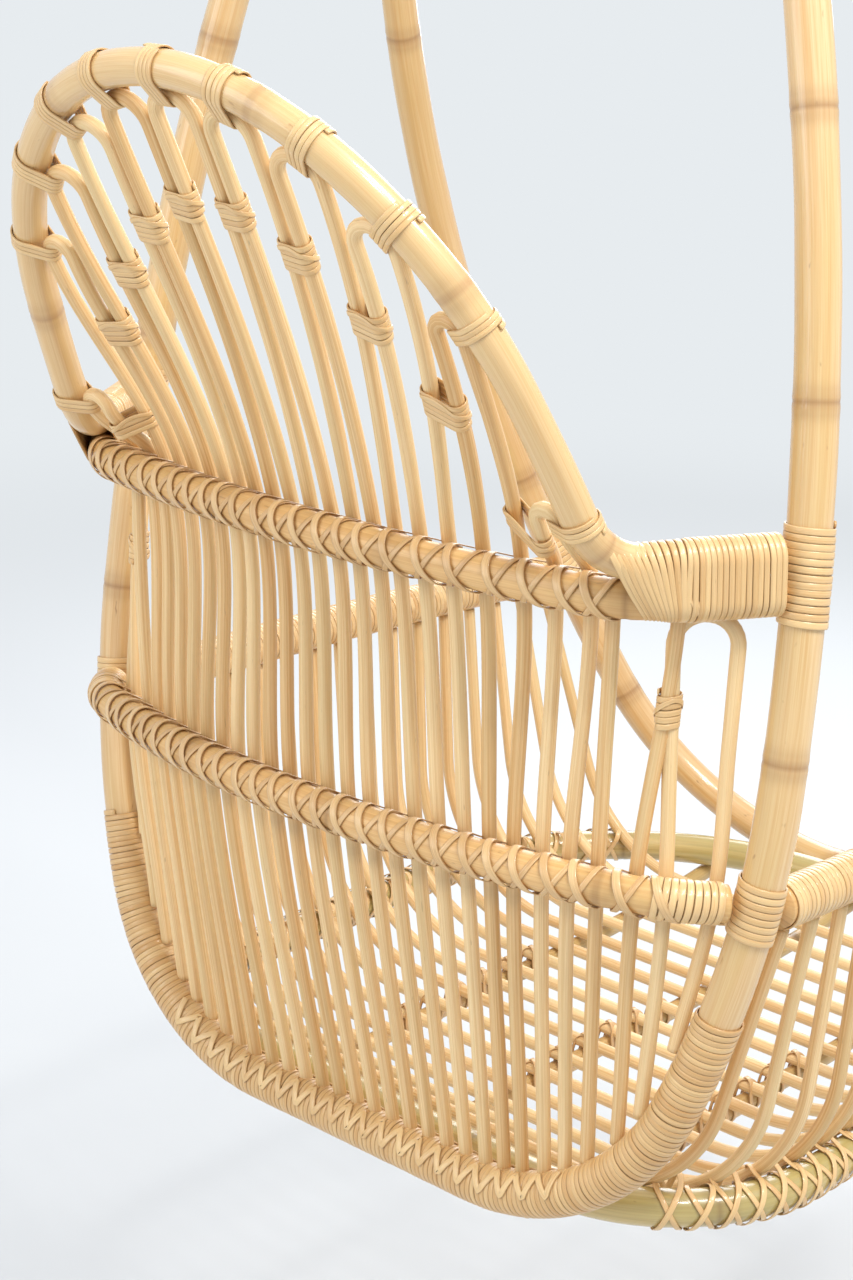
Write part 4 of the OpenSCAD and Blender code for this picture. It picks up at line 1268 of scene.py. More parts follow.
GRAINS = {
    "Streaks": Grain(2.4, 2.2, 1.6, 4.0, 0.62, 0.36, 0.66),
    "Fibres": Grain(14.0, 9.0, 1.4, 3.0, 0.6),
    "Patches": Grain(0.55, 4.0, 1.0, 2.0, 0.5, 0.42, 0.66),
    "Scars": Grain(2.0, 46.0, 1.0, 2.0, 0.7, 0.69, 0.76),
}
GRAIN_SHIFT = 37.0  # how far a cane's shade moves its grain


class Nodes:
    """A small helper that adds and links shader nodes of one tree."""

    def __init__(self, tree: bpy.types.NodeTree) -> None:
        """Empties the tree."""
        self.tree = tree
        tree.nodes.clear()

    def add(self, kind: str, inputs: dict | None = None, **settings: object) -> bpy.types.Node:
        """Adds a node.

        Args:
            kind: its type.
            inputs: values, or sockets of other nodes, by input name or number.
            **settings: its settings.

        Returns:
            The node.
        """
        node = self.tree.nodes.new(kind)
        for key, value in settings.items():
            setattr(node, key, value)
        for key, value in (inputs or {}).items():
            if isinstance(value, Socket):
                self.tree.links.new(value, node.inputs[key])
            else:
                node.inputs[key].default_value = value
        return node

    def math(self, operation: str, a: Feed, b: Feed = 0.0, clamp: bool = False) -> Socket:
        """The output of a Math node."""
        node = self.add("ShaderNodeMath", {0: a, 1: b}, operation=operation, use_clamp=clamp)
        return node.outputs[0]

    def mix(self, share: Feed, a: Feed, b: Feed) -> Socket:
        """Colours a and b mixed by share."""
        return self.add("ShaderNodeMix", {0: share, 6: a, 7: b}, data_type="RGBA").outputs[2]

    def ramp(self, value: Feed, low: float, high: float) -> Socket:
        """0 below low and 1 above high, eased in between."""
        inputs = {0: value, 1: low, 2: high}
        return self.add("ShaderNodeMapRange", inputs, interpolation_type="SMOOTHSTEP").outputs[0]

    def noise(self, where: Feed, scale: float, detail: float, rough: float = 0.5) -> Socket:
        """The value of a 3-D noise."""
        inputs = {"Vector": where, "Scale": scale, "Detail": detail, "Roughness": rough}
        return self.add("ShaderNodeTexNoise", inputs).outputs["Fac"]

    def bump(self, strength: float, depth: float, height: Feed) -> Socket:
        """The normal of a Bump node."""
        inputs = {"Strength": strength, "Distance": depth, "Height": height}
        return self.add("ShaderNodeBump", inputs).outputs[0]


def fibre_group() -> bpy.types.NodeTree:
    """Makes the shader group of a cane's fibres.

    Each noise lies on a circle round the cane, (sin(2 pi girth), cos(2 pi girth)), and on its
    length, so that it has no seam.

    Returns:
        The group; its outputs are long streaks, fine fibres, slow patches and small dark scars,
        each 0 to 1.
    """
    tree = bpy.data.node_groups.new("cane_fibres", "ShaderNodeTree")
    face = tree.interface
    for name in ("Length", "Girth", "Offset", "Stretch"):
        face.new_socket(name, in_out="INPUT", socket_type="NodeSocketFloat")
    for name in GRAINS:
        face.new_socket(name, in_out="OUTPUT", socket_type="NodeSocketFloat")
    g = Nodes(tree)
    src = g.add("NodeGroupInput").outputs
    turn = g.math("MULTIPLY", src["Girth"], 2 * math.pi)
    along = g.math("ADD", g.math("MULTIPLY", src["Length"], src["Stretch"]),
                   g.math("MULTIPLY", src["Offset"], GRAIN_SHIFT))
    sx, cx = g.math("SINE", turn), g.math("COSINE", turn)
    values = []
    for grain in GRAINS.values():
        axes = ((sx, grain.round), (cx, grain.round), (along, grain.along))
        scaled = {i: g.math("MULTIPLY", axis, size) for i, (axis, size) in enumerate(axes)}
        place = g.add("ShaderNodeCombineXYZ", scaled).outputs[0]
        value = g.noise(place, grain.scale, grain.detail, grain.rough)
        values.append(value if grain.low is None else g.ramp(value, grain.low, grain.high))
    g.add("NodeGroupOutput", dict(enumerate(values)))
    return tree


class Finishes:
    """Makes each procedural material once."""

    def __init__(self) -> None:
        """Makes the shader group that the canes share."""
        self.fibres = fibre_group()

    def make(self, finish: CaneFinish | SteelFinish) -> bpy.types.Material:
        """Makes a finish's material.

        Args:
            finish: what it looks like.

        Returns:
            The material.
        """
        material = bpy.data.materials.new(finish.name)
        material.use_nodes = True
        g = Nodes(material.node_tree)
        if isinstance(finish, CaneFinish):
            shader = self.cane(g, finish)
        else:
            shader = self.steel(g, finish)
        g.add("ShaderNodeOutputMaterial", {0: shader.outputs[0]})
        return material

    def cane(self, g: Nodes, f: CaneFinish) -> bpy.types.Node:
        """Whole cane, or a split strip with painted shade along its edges.

        Args:
            g: nodes of the material.
            f: the finish.

        Returns:
            The shader.
        """
        uv_map = g.add("ShaderNodeUVMap", uv_map="UVMap").outputs[0]
        uv = g.add("ShaderNodeSeparateXYZ", {0: uv_map}).outputs
        tone, mark = (g.add("ShaderNodeAttribute", attribute_name=key).outputs["Fac"]
                      for key in ("tone", "mark"))
        girth = g.math("MULTIPLY", uv[1], f.strip_girth) if f.strip else uv[1]
        group = g.add("ShaderNodeGroup", node_tree=self.fibres)
        for key, value in (("Length", uv[0]), ("Girth", girth), ("Offset", tone)):
            g.tree.links.new(value, group.inputs[key])
        group.inputs["Stretch"].default_value = f.strip_stretch if f.strip else 1.0
        streaks, fibres, patches, scars = group.outputs
        pale, deep, tint, node = ((*colour, 1) for colour in (f.pale, f.deep, f.tint, f.node))
        darker = g.math("MULTIPLY", g.math("SUBTRACT", MIDDLE_TONE, tone), f.tone_gain)
        shade = g.math("ADD", g.math("MULTIPLY", streaks, f.streak), darker, clamp=True)
        colour = g.mix(shade, pale, deep)
        colour = g.mix(g.math("MULTIPLY", patches, f.patch), colour, tint)
        fine = g.math("MULTIPLY", g.ramp(fibres, *f.fibre_range), f.fibre)
        colour = g.mix(fine, colour, deep)
        colour = g.mix(g.math("MULTIPLY", scars, f.scar), colour, node)
        if f.strip:
            # painted shade along a strip's edges, where it turns away and meets the next turn
            edge = g.math("ABSOLUTE", g.math("SUBTRACT", uv[1], 0.5))
            line = g.math("MULTIPLY", g.ramp(edge, *f.edge_range), f.edge)
        else:
            # darkens toward the node colour: node lines, their painted shadows, and the painted
            # shade below the rails
            line = g.math("MULTIPLY", mark, f.ring, clamp=True)
        colour = g.mix(line, colour, node)
        height = g.math("MULTIPLY", g.math("SUBTRACT", fibres, streaks), 0.5)
        rough = g.math("ADD", f.rough, g.math("MULTIPLY", fibres, f.rough_gain))
        return g.add("ShaderNodeBsdfPrincipled", {
            "Base Color": colour, "Roughness": rough,
            "Normal": g.bump(f.bump, f.bump_depth, height),
            "Coat Weight": f.coat, "Coat Roughness": f.coat_rough, "IOR": f.ior,
            "Subsurface Weight": f.soft, "Subsurface Radius": f.soft_radius})

    def steel(self, g: Nodes, f: SteelFinish) -> bpy.types.Node:
        """Brushed or coated steel on the object's own coordinates.

        Args:
            g: nodes of the material.
            f: the finish.

        Returns:
            The shader.
        """
        place = g.add("ShaderNodeTexCoord").outputs["Object"]
        grain = g.noise(place, f.grain, f.grain_detail)
        dark = (*(c * f.grain_dark for c in f.colour), 1)
        tinted = g.mix(g.math("MULTIPLY", grain, f.grain_share), (*f.colour, 1), dark)
        rough = g.math("ADD", f.rough, g.math("MULTIPLY", grain, f.grain_rough))
        return g.add("ShaderNodeBsdfPrincipled", {
            "Base Color": tinted, "Metallic": f.metallic, "Roughness": rough,
            "Normal": g.bump(f.bump, f.bump_depth, grain)})


SEAM_SPAN, SEAM_LOW = 0.6, 0.3  # a quad whose girth spans more than this crosses the seam
RING_SPREAD, RING_MARGIN = 0.16, 12


class Builder:
    """Turns parts into objects that ride on the chair body."""

    def __init__(self) -> None:
        """Makes every material."""
        made = Finishes()
        self.looks = {slot: made.make(finish) for slot, finish in LOOKS.items()}

    def add(self, name: str, part: Part, slot: Slot, *replaces: str) -> None:
        """Makes a part's object, hung on the chair body.

        Args:
            name: the object's name.
            part: its mesh in chair millimetres.
            slot: material slot that it is finished with.
            *replaces: CAD nodes that it stands for.
        """
        mesh = bpy.data.meshes.new(name)
        points = hang(part.points).astype(np.float32)
        mesh.vertices.add(len(points))
        mesh.vertices.foreach_set("co", points.ravel())
        mesh.loops.add(part.quads.size)
        mesh.loops.foreach_set("vertex_index", part.quads.astype(np.int32).ravel())
        mesh.polygons.add(len(part.quads))
        mesh.polygons.foreach_set("loop_start", np.arange(0, part.quads.size, 4, dtype=np.int32))
        mesh.polygons.foreach_set("use_smooth", np.ones(len(part.quads), bool))
        mesh.update(calc_edges=True)
        corner = part.uv[part.quads]
        if not LOOKS[slot].strip:
            girth = corner[..., 1]
            seam = (girth.max(1) - girth.min(1)) > SEAM_SPAN
            girth[seam] += girth[seam] < SEAM_LOW
        mesh.uv_layers.new(name="UVMap").data.foreach_set("uv", corner.astype(np.float32).ravel())
        for key, values in (("tone", part.tone), ("mark", part.mark)):
            data = mesh.attributes.new(key, "FLOAT", "POINT").data
            data.foreach_set("value", values.astype(np.float32))
        mesh.materials.append(self.looks[slot])
        obj = bpy.data.objects.new(name, mesh)
        bpy.context.scene.collection.objects.link(obj)
        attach(obj, CHAIR_BODY)
        if replaces:
            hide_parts(*replaces)
        LOG.info("%s: %d faces", name, len(part.quads))

    def add_pole(self, name: str, node: str, path: Path, d: float, rings: tuple[float, float],
                 tone: float, slot: Slot, rng: Rng, cane: Cane = WHOLE_CANE) -> None:
        """Makes a whole pole with its node rings, unevenly spaced.

        Args:
            name: the object's name.
            node: CAD node that it stands for.
            path: centreline.
            d: diameter.
            rings: distance of the first node ring from the end, and their spacing.
            tone: shade.
            slot: material slot.
            rng: source of the unevenness.
            cane: how finely it is made.
        """
        first, spacing = rings
        n = int((path.s[-1] - path.s[0]) / spacing) + 2
        places = path.s[0] + first + spacing * np.arange(n)
        places = places + rng.uniform(-RING_SPREAD, RING_SPREAD, n) * spacing
        nodes = tuple(places[places < path.s[-1] - RING_MARGIN])
        self.add(name, pole(path, d, rng, tone, nodes, cane), slot, node)

    def dress(self, node: str, slot: Slot) -> None:
        """Gives a CAD node that is shown its finish.

        Args:
            node: the node's name.
            slot: material slot that it is finished with.
        """
        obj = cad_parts[node]
        obj.data.materials.clear()
        obj.data.materials.append(self.looks[slot])
        faces = obj.data.polygons
        faces.foreach_set("material_index", np.zeros(len(faces), np.int32))
        LOG.info("%s: %s", node, slot.value)


# ---- Sub-assemblies ----------------------------------------------------------------------
@dataclass
class Hoops:
    """The two hoops, what is wound round them, and the stitches at the spindles' feet."""

    builder: Builder
    seed: int = 11
    rear_rings: tuple[float, float] = (150, 236)  # first node ring, and their spacing
    front_rings: tuple[float, float] = (90, 250)
    rear_tone: float = 0.55
    front_tone: float = 0.42
    upper_reach: tuple[float, float] = (26, 48)  # below and above the joint
    lower_reach: tuple[float, float] = (27, 20)
    front_reach: tuple[float, float] = (34, 34)
    upright_winding: Winding = Winding(5.2)
    front_winding: Winding = Winding(5.6)
    bottom_winding: Winding = Winding(4.7)
    bottom_ends: tuple[float, float] = (200, 176)  # heights on the right and on the left
    bottom_shade: float = 0.62  # share of the usual shade
    stitch_w: float = 5.4
    stitch_t: float = 1.6
    stitch_sink: float = 0.3  # how far the stitches go into the wrap
    stitch_step: float = 1.2
    stitch_turn: tuple[float, float] = (86, 58)  # from the inside in a valley, less at a peak
    stitch_run: float = 16  # samples that share a shade
    stitch_pale: float = 0.12
    stitched: int = 6  # hairpins on each side

    def build(self) -> None:
        """Makes the hoops, their wraps and the stitches."""
        rng = np.random.default_rng(self.seed)
        rear, front = REAR.doubled(), FRONT.doubled()
        for name, path, rings, tone in (("rear_hoop", rear, self.rear_rings, self.rear_tone),
                                        ("front_hoop", front, self.front_rings, self.front_tone)):
            self.builder.add_pole(f"{name}_pole", name, path, Z.pole_d, rings, tone, Slot.HOOP, rng)
        upright = self.upright_winding
        self.wrap("upper_upright", REAR, Z.upper_z, self.upper_reach, upright, rng)
        self.wrap("lower_upright", REAR, Z.lower_z, self.lower_reach, upright, rng)
        self.wrap("front_hoop", FRONT, Z.rim_front_z, self.front_reach, self.front_winding, rng)
        right, left = self.bottom_ends
        ends = (-hoop_s(REAR, right), hoop_s(REAR, left))
        bottom = coil(rear, ends, Z.pole_d / 2 + Z.gap, self.bottom_winding, rng)
        bottom.tone *= self.bottom_shade
        self.builder.add("hoop_bottom_strips", bottom, Slot.PALE, "hoop_bottom_wrap")
        self.builder.add("foot_stitches", self.stitches(rear, rng), Slot.PALE)

    def wrap(self, name: str, path: Path, z: float, reach: tuple[float, float], w: Winding,
             rng: Rng) -> None:
        """Winds both sides of a hoop where something meets it.

        Args:
            name: what the pieces are called after.
            path: half of the hoop.
            z: height of the wrap.
            reach: how far it goes below and above that height.
            w: how it is wound.
            rng: source of the unevenness.
        """
        ends = (hoop_s(path, z - reach[0]), hoop_s(path, z + reach[1]))
        part = on_both_sides(lambda: coil(path, ends, Z.pole_d / 2 + Z.gap, w, rng))
        self.builder.add(f"{name}_strips", part, Slot.PALE, f"{name}_wraps")

    def stitches(self, rear: Path, rng: Rng) -> Part:
        """Zigzag strips that peak over each spindle's foot, on both faces of the hoop.

        Args:
            rear: the whole rear hoop.
            rng: source of the unevenness.

        Returns:
            The part.
        """
        legs = [(k, s, m) for k in range(self.stitched) for s in (-1, 1) for m in (-1, 1)]
        feet = sorted({round(self.foot_s(rear, *leg), 3) for leg in legs})
        stops = np.sort(np.concatenate([feet, (np.array(feet)[1:] + np.array(feet)[:-1]) / 2]))
        s = np.arange(stops[0], stops[-1], self.stitch_step)
        peak = np.interp(s, stops, (np.arange(len(stops)) % 2 == 0).astype(float))
        p, _, a, _ = rear.at(s)
        inward, normal = self.toward_legs(p, a)
        low, swing = self.stitch_turn
        turn = np.radians(low - swing * peak)[:, None]
        parts = []
        for face in (1, -1):
            out = inward * np.cos(turn) + normal * np.sin(turn) * face
            tone = turn_tone(np.arange(len(s)) / self.stitch_run, rng) + self.stitch_pale
            line = p + out * (WRAP_R - self.stitch_sink)
            parts.append(ribbon(line, out, self.stitch_w, self.stitch_t, tone))
        return joined(parts)

    @staticmethod
    def toward_legs(p: Array, a: Array) -> tuple[Array, Array]:
        """Directions of the rear hoop's plane.

        Args:
            p: points of the hoop.
            a: a section axis at each point.

        Returns:
            At each point, the direction in the plane toward the hoop's inside, and the normal.
        """
        normal = np.broadcast_to(unit(np.cross(REAR_F[1], REAR_F[2])), p.shape)
        inward = a - (a * normal).sum(1, keepdims=True) * normal
        middle = REAR_F[0] + REAR_F[2] * Z.upper_z
        return unit(inward) * np.sign(((middle - p) * inward).sum(1, keepdims=True)), normal

    @staticmethod
    def foot_s(rear: Path, k: int, s: int, m: int) -> float:
        """Finds where a spindle's foot stands along the rear hoop.

        Args:
            rear: the whole hoop.
            k: the hairpin.
            s: 1 for its outer leg, -1 for its inner one.
            m: 1 on the left half and -1 on the right.

        Returns:
            Distance of the hoop's nearest point, along the hoop.
        """
        low = rear.p[:, 2] < Z.lower_z
        away = np.linalg.norm(rear.p[low] - foot(k, s) * vec(m, 1, 1), axis=1)
        return float(rear.s[low][away.argmin()])


@dataclass
class Back:
    """Arch, rails, spindles and their bindings."""

    builder: Builder
    seed: int = 23
    arch_rings: tuple[float, float] = (120, 205)  # first node ring, and their spacing
    upper_rings: tuple[float, float] = (110, 190)
    lower_rings: tuple[float, float] = (80, 210)
    arch_tone: float = 0.6
    rail_tone: float = 0.5
    spindle_tone: tuple[float, ...] = (0.58, 0.16, 0.15, 0.95)  # middle, spread and limits
    dark_spindle: tuple[int, int] = (4, -1)  # its hairpin and side
    dark_by: float = 0.35
    # painted shade on the spindles below each rail: where it is darkest, its width, and its
    # strength
    shade_drop: float = 22  # from a rail down to the darkest of the painted shade below it
    shade_w: float = 9
    shade_range: tuple[float, float] = (0.3, 0.9)
    joint_clear: float = 2  # from the wrapped upright
    joint_back: float = 34  # from there to the middle of the winding
    joint_turns: int = 16
    joint_winding: GripWinding = GripWinding(4.2, 1.0, 1.7, 0.0, 60)
    fan_turns: int = 12
    fan_start: float = 67.2  # from there to the first turn of the fan
    fan_rail_step: float = 2.8  # between its turns, on the rail and on the arch
    fan_arch_step: float = 4.8
    fan_spare: float = 0.3
    fan_lap: Lap = Lap(1.8, width=4.6, lift=0, thick=1.6)
    fan_tone: tuple[float, float] = (MIDDLE_TONE, 0.16)
    end_wrap: tuple[float, float] = (40, 1)  # before the end run, and short of the end
    end_winding: Winding = Winding(5.2)
    lash_spare: float = 0.2
    lash_range: tuple[float, float] = (0.92, 1.08)  # shares of a strip's lean
    upper_under: Lap = Lap(11.5, width=4.4, lift=0.1, bow=-1.5)
    lower_under: Lap = Lap(10.5, width=4.4, lift=0.1, bow=-1.5)
    lash_over: Lap = Lap(0, width=6.2, lift=0.9, bow=3.0)
    bow_range: tuple[float, float] = (-1, 1)
    under_tones: tuple[float, float] = (0.3, 0.55)
    over_tones: tuple[float, float] = (0.45, 0.8)
    tie_winding: GripWinding = GripWinding(4.0, thick=1.4)
    tie_share: float = 0.95  # width of a tie over its crest's half width
    tie_more: float = 1  # and the rest of its width
    tie_widest: float = 17
    tie_apart: float = 0.9  # how loosely the two canes are held
    tie_pale: float = 0.1
    band_winding: GripWinding = GripWinding(4.7, thick=1.2)
    band_turns: tuple[int, ...] = (5, 5, 5, 5, 3, 0, 5)  # from each hairpin to the next one
    band_drops: tuple[float, ...] = (52, 52, 52, 52, 7, 0, 45)  # below their lower shoulder
    band_lap: Lap = Lap(8, width=3.6, lift=1.2, thick=0.9)
    band_tones: tuple[float, float] = (0.5, 0.7)
    heading_rise: float = 5  # height over which the legs' heading is taken

    def build(self) -> None:
        """Makes every part of the back."""
        rng = np.random.default_rng(self.seed)
        self.poles(rng)
        self.spindles(rng)
        self.joints(rng)
        self.lashings(rng)
        self.ties(rng)
        self.bands(rng)

    def poles(self, rng: Rng) -> None:
        """Makes the arch and the two rails.

        Args:
            rng: source of the unevenness.
        """
        add = self.builder.add_pole
        add("arch_pole", "back_arch", ARCH.doubled(), Z.arch_d, self.arch_rings, self.arch_tone,
            Slot.ARCH, rng)
        for name, path, rings in (("upper_rail", UPPER, self.upper_rings),
                                  ("lower_rail", LOWER, self.lower_rings)):
            add(f"{name}_pole", name, path.doubled(), Z.rail_d, rings, self.rail_tone, Slot.RAIL,
                rng)

    def spindles(self, rng: Rng) -> None:
        """Makes fifteen hairpins in three groups, each with its own tone and with painted shade
        below the rails.

        The painted shade is exp(-(height from its place / width)^2) below each rail.

        Args:
            rng: source of the unevenness.
        """
        groups = {
            "left": [(k, 1) for k in range(3, END_PIN + 1)],
            "middle": [(0, 1), (1, 1), (2, 1), (1, -1), (2, -1)],
            "right": [(k, -1) for k in range(3, END_PIN + 1)],
        }
        for side, members in groups.items():
            parts = []
            for k, m in members:
                tone = some_tone(rng, *self.spindle_tone)
                tone -= self.dark_by if (k, m) == self.dark_spindle else 0
                part = pole(hairpin(k, m), Z.spindle_d, rng, tone, cane=THIN_CANE)
                # painted shade: darker just below each rail, where the rail's shadow falls on the
                # spindle
                painted_shade = sum(bell(part.points[:, 2] - z + self.shade_drop, self.shade_w)
                            for z in (Z.upper_z, Z.lower_z))
                part.mark = painted_shade * rng.uniform(*self.shade_range)
                parts.append(part)
            name = f"{side}_back"
            self.builder.add(f"{name}_canes", joined(parts), Slot.CANE, f"{name}_spindles")

    def joints(self, rng: Rng) -> None:
        """Winds the rail and the arch's end together, and the lower rail's ends.

        Args:
            rng: source of the unevenness.
        """
        centre = UPPER_U - END_DIR * (BUTT + self.joint_clear) - END_DIR * self.joint_back
        radii = (Z.rail_d / 2 + 2 * Z.gap, Z.arch_d / 2 + 2 * Z.gap)
        grip = Grip(centre, vec(0, 0, 1), -END_DIR, *radii, STACK)
        for side, m in (("left", 1), ("right", -1)):
            wound = grip.coil(self.joint_turns, self.joint_winding, rng)
            part = on_side(joined([wound, self.fan(rng)]), m)
            self.builder.add(f"{side}_joint_strips", part, Slot.PALE, f"{side}_joint_winding")
        before, after = self.end_wrap
        ends = (LOWER.length - LOWER_RUN - before, LOWER.length - after)
        part = on_both_sides(
            lambda: coil(LOWER, ends, Z.rail_d / 2 + Z.gap, self.end_winding, rng))
        self.builder.add("lower_rail_end_strips", part, Slot.PALE, "lower_rail_end_wraps")

    def fan(self, rng: Rng) -> Part:
        """Turns past the joint, each an oval that grows as the arch rises from the rail.

        Args:
            rng: source of the shades.

        Returns:
            The part.
        """
        parts = []
        back = BUTT + self.joint_clear + self.fan_start
        radii = (Z.rail_d / 2 + self.fan_spare, Z.arch_d / 2 + self.fan_spare)
        for j in range(self.fan_turns):
            on_rail = UPPER.length - back + BUTT + Z.upper_clear - self.fan_rail_step * j
            on_arch = ARCH.length - back + BUTT + Z.arch_clear - self.fan_arch_step * j
            rail, arch = UPPER.point(on_rail), ARCH.point(on_arch)
            rise = float(np.linalg.norm(arch - rail))
            across = (arch - rail) / rise
            along = unit(-END_DIR + across * (END_DIR @ across))
            grip = Grip(rail, across, along, *radii, rise)
            parts.append(grip.lap(replace(self.fan_lap, tone=some_tone(rng, *self.fan_tone))))
        return joined(parts)

    def lashings(self, rng: Rng) -> None:
        """Crosses two strips over each leg at both rails.

        Args:
            rng: source of the unevenness.
        """
        radii = (Z.rail_d / 2 + self.lash_spare, Z.spindle_d / 2 + self.lash_spare)
        for name, rail, pins, first in (("upper_rail", UPPER, END_PIN, self.upper_under),
                                        ("lower_rail", LOWER, END_PIN + 1, self.lower_under)):
            parts = []
            line = rail.doubled()
            legs = [(k, s, m) for m in (1, -1) for k in range(pins) for s in (-1, 1)
                    if (k > 0 or m > 0) and (k, s) != (END_PIN, 1)]
            for k, s, m in legs:
                leg = (up_pt(k, s, m) if rail is UPPER else low_pt(k, s)) * vec(m, 1, 1)
                i = np.linalg.norm(line.p - leg, axis=1).argmin()
                grip = Grip.between(line.p[i], leg, line.t[i], *radii)
                lean = first.lean * rng.uniform(*self.lash_range)
                under = replace(first, lean=lean, tone=rng.uniform(*self.under_tones))
                bow = self.lash_over.bow + rng.uniform(*self.bow_range)
                tone = rng.uniform(*self.over_tones)
                over = replace(self.lash_over, lean=-lean, bow=bow, tone=tone)
                parts += [grip.lap(under), grip.lap(over)]
            self.builder.add(f"{name}_strips", joined(parts), Slot.GOLD, f"{name}_lashing")

    def ties(self, rng: Rng) -> None:
        """Winds bright turns round each hairpin's crest and the arch.

        Args:
            rng: source of the unevenness.
        """
        parts = []
        winding = self.tie_winding
        radii = (Z.arch_d / 2 + Z.gap, Z.spindle_d / 2 + 2 * Z.gap)
        apart = (Z.arch_d + Z.spindle_d) / 2 + Z.gap + self.tie_apart
        for k in range(LAST_ARCHED + 1):
            depth, tilt = arch_in(CREST_U[k], crest_off(k))
            inward = ARCH_DOWN * cos(tilt) - vec(sin(tilt), 0, 0)
            along = vec(cos(tilt), 0, 0) + ARCH_DOWN * sin(tilt)
            centre = arch_point(CREST_U[k], depth) - inward * crest_off(k)
            width = min(self.tie_widest, self.tie_share * CREST_W[k] + self.tie_more)
            turns = round(width / winding.pitch)
            grip = Grip(centre, inward, along, *radii, apart)
            for m in (1, -1) if k else (1,):
                part = grip.coil(turns, winding, rng)
                part.tone = np.clip(part.tone + self.tie_pale, 0, 1)
                parts.append(on_side(part, m))
        self.builder.add("arch_tie_strips", joined(parts), Slot.PALE, "arch_ties")

    def bands(self, rng: Rng) -> None:
        """Winds neighbouring legs together below the crests, with one slanting strip over them.

        Args:
            rng: source of the unevenness.
        """
        parts = []
        r = Z.spindle_d / 2 + Z.gap
        banded = [k for k, turns in enumerate(self.band_turns) if turns]
        for k, m in ((k, m) for k in banded for m in (1, -1)):
            z = min(shoulder(k, 1)[2], shoulder(k + 1, -1)[2]) - self.band_drops[k]
            legs = [leg_line(k, 1, m), leg_line(k + 1, -1, m)]
            a, b = (columns(z, leg[:, 2], leg) for leg in legs)
            above = sum(columns(z + self.heading_rise, leg[:, 2], leg) for leg in legs)
            grip = Grip.between(a, b, unit(above - a - b), r, r)
            wound = grip.coil(self.band_turns[k], self.band_winding, rng)
            over = grip.lap(replace(self.band_lap, tone=rng.uniform(*self.band_tones)))
            parts.append(on_side(joined([wound, over]), m))
        self.builder.add("spindle_band_strips", joined(parts), Slot.PALE, "spindle_bands")


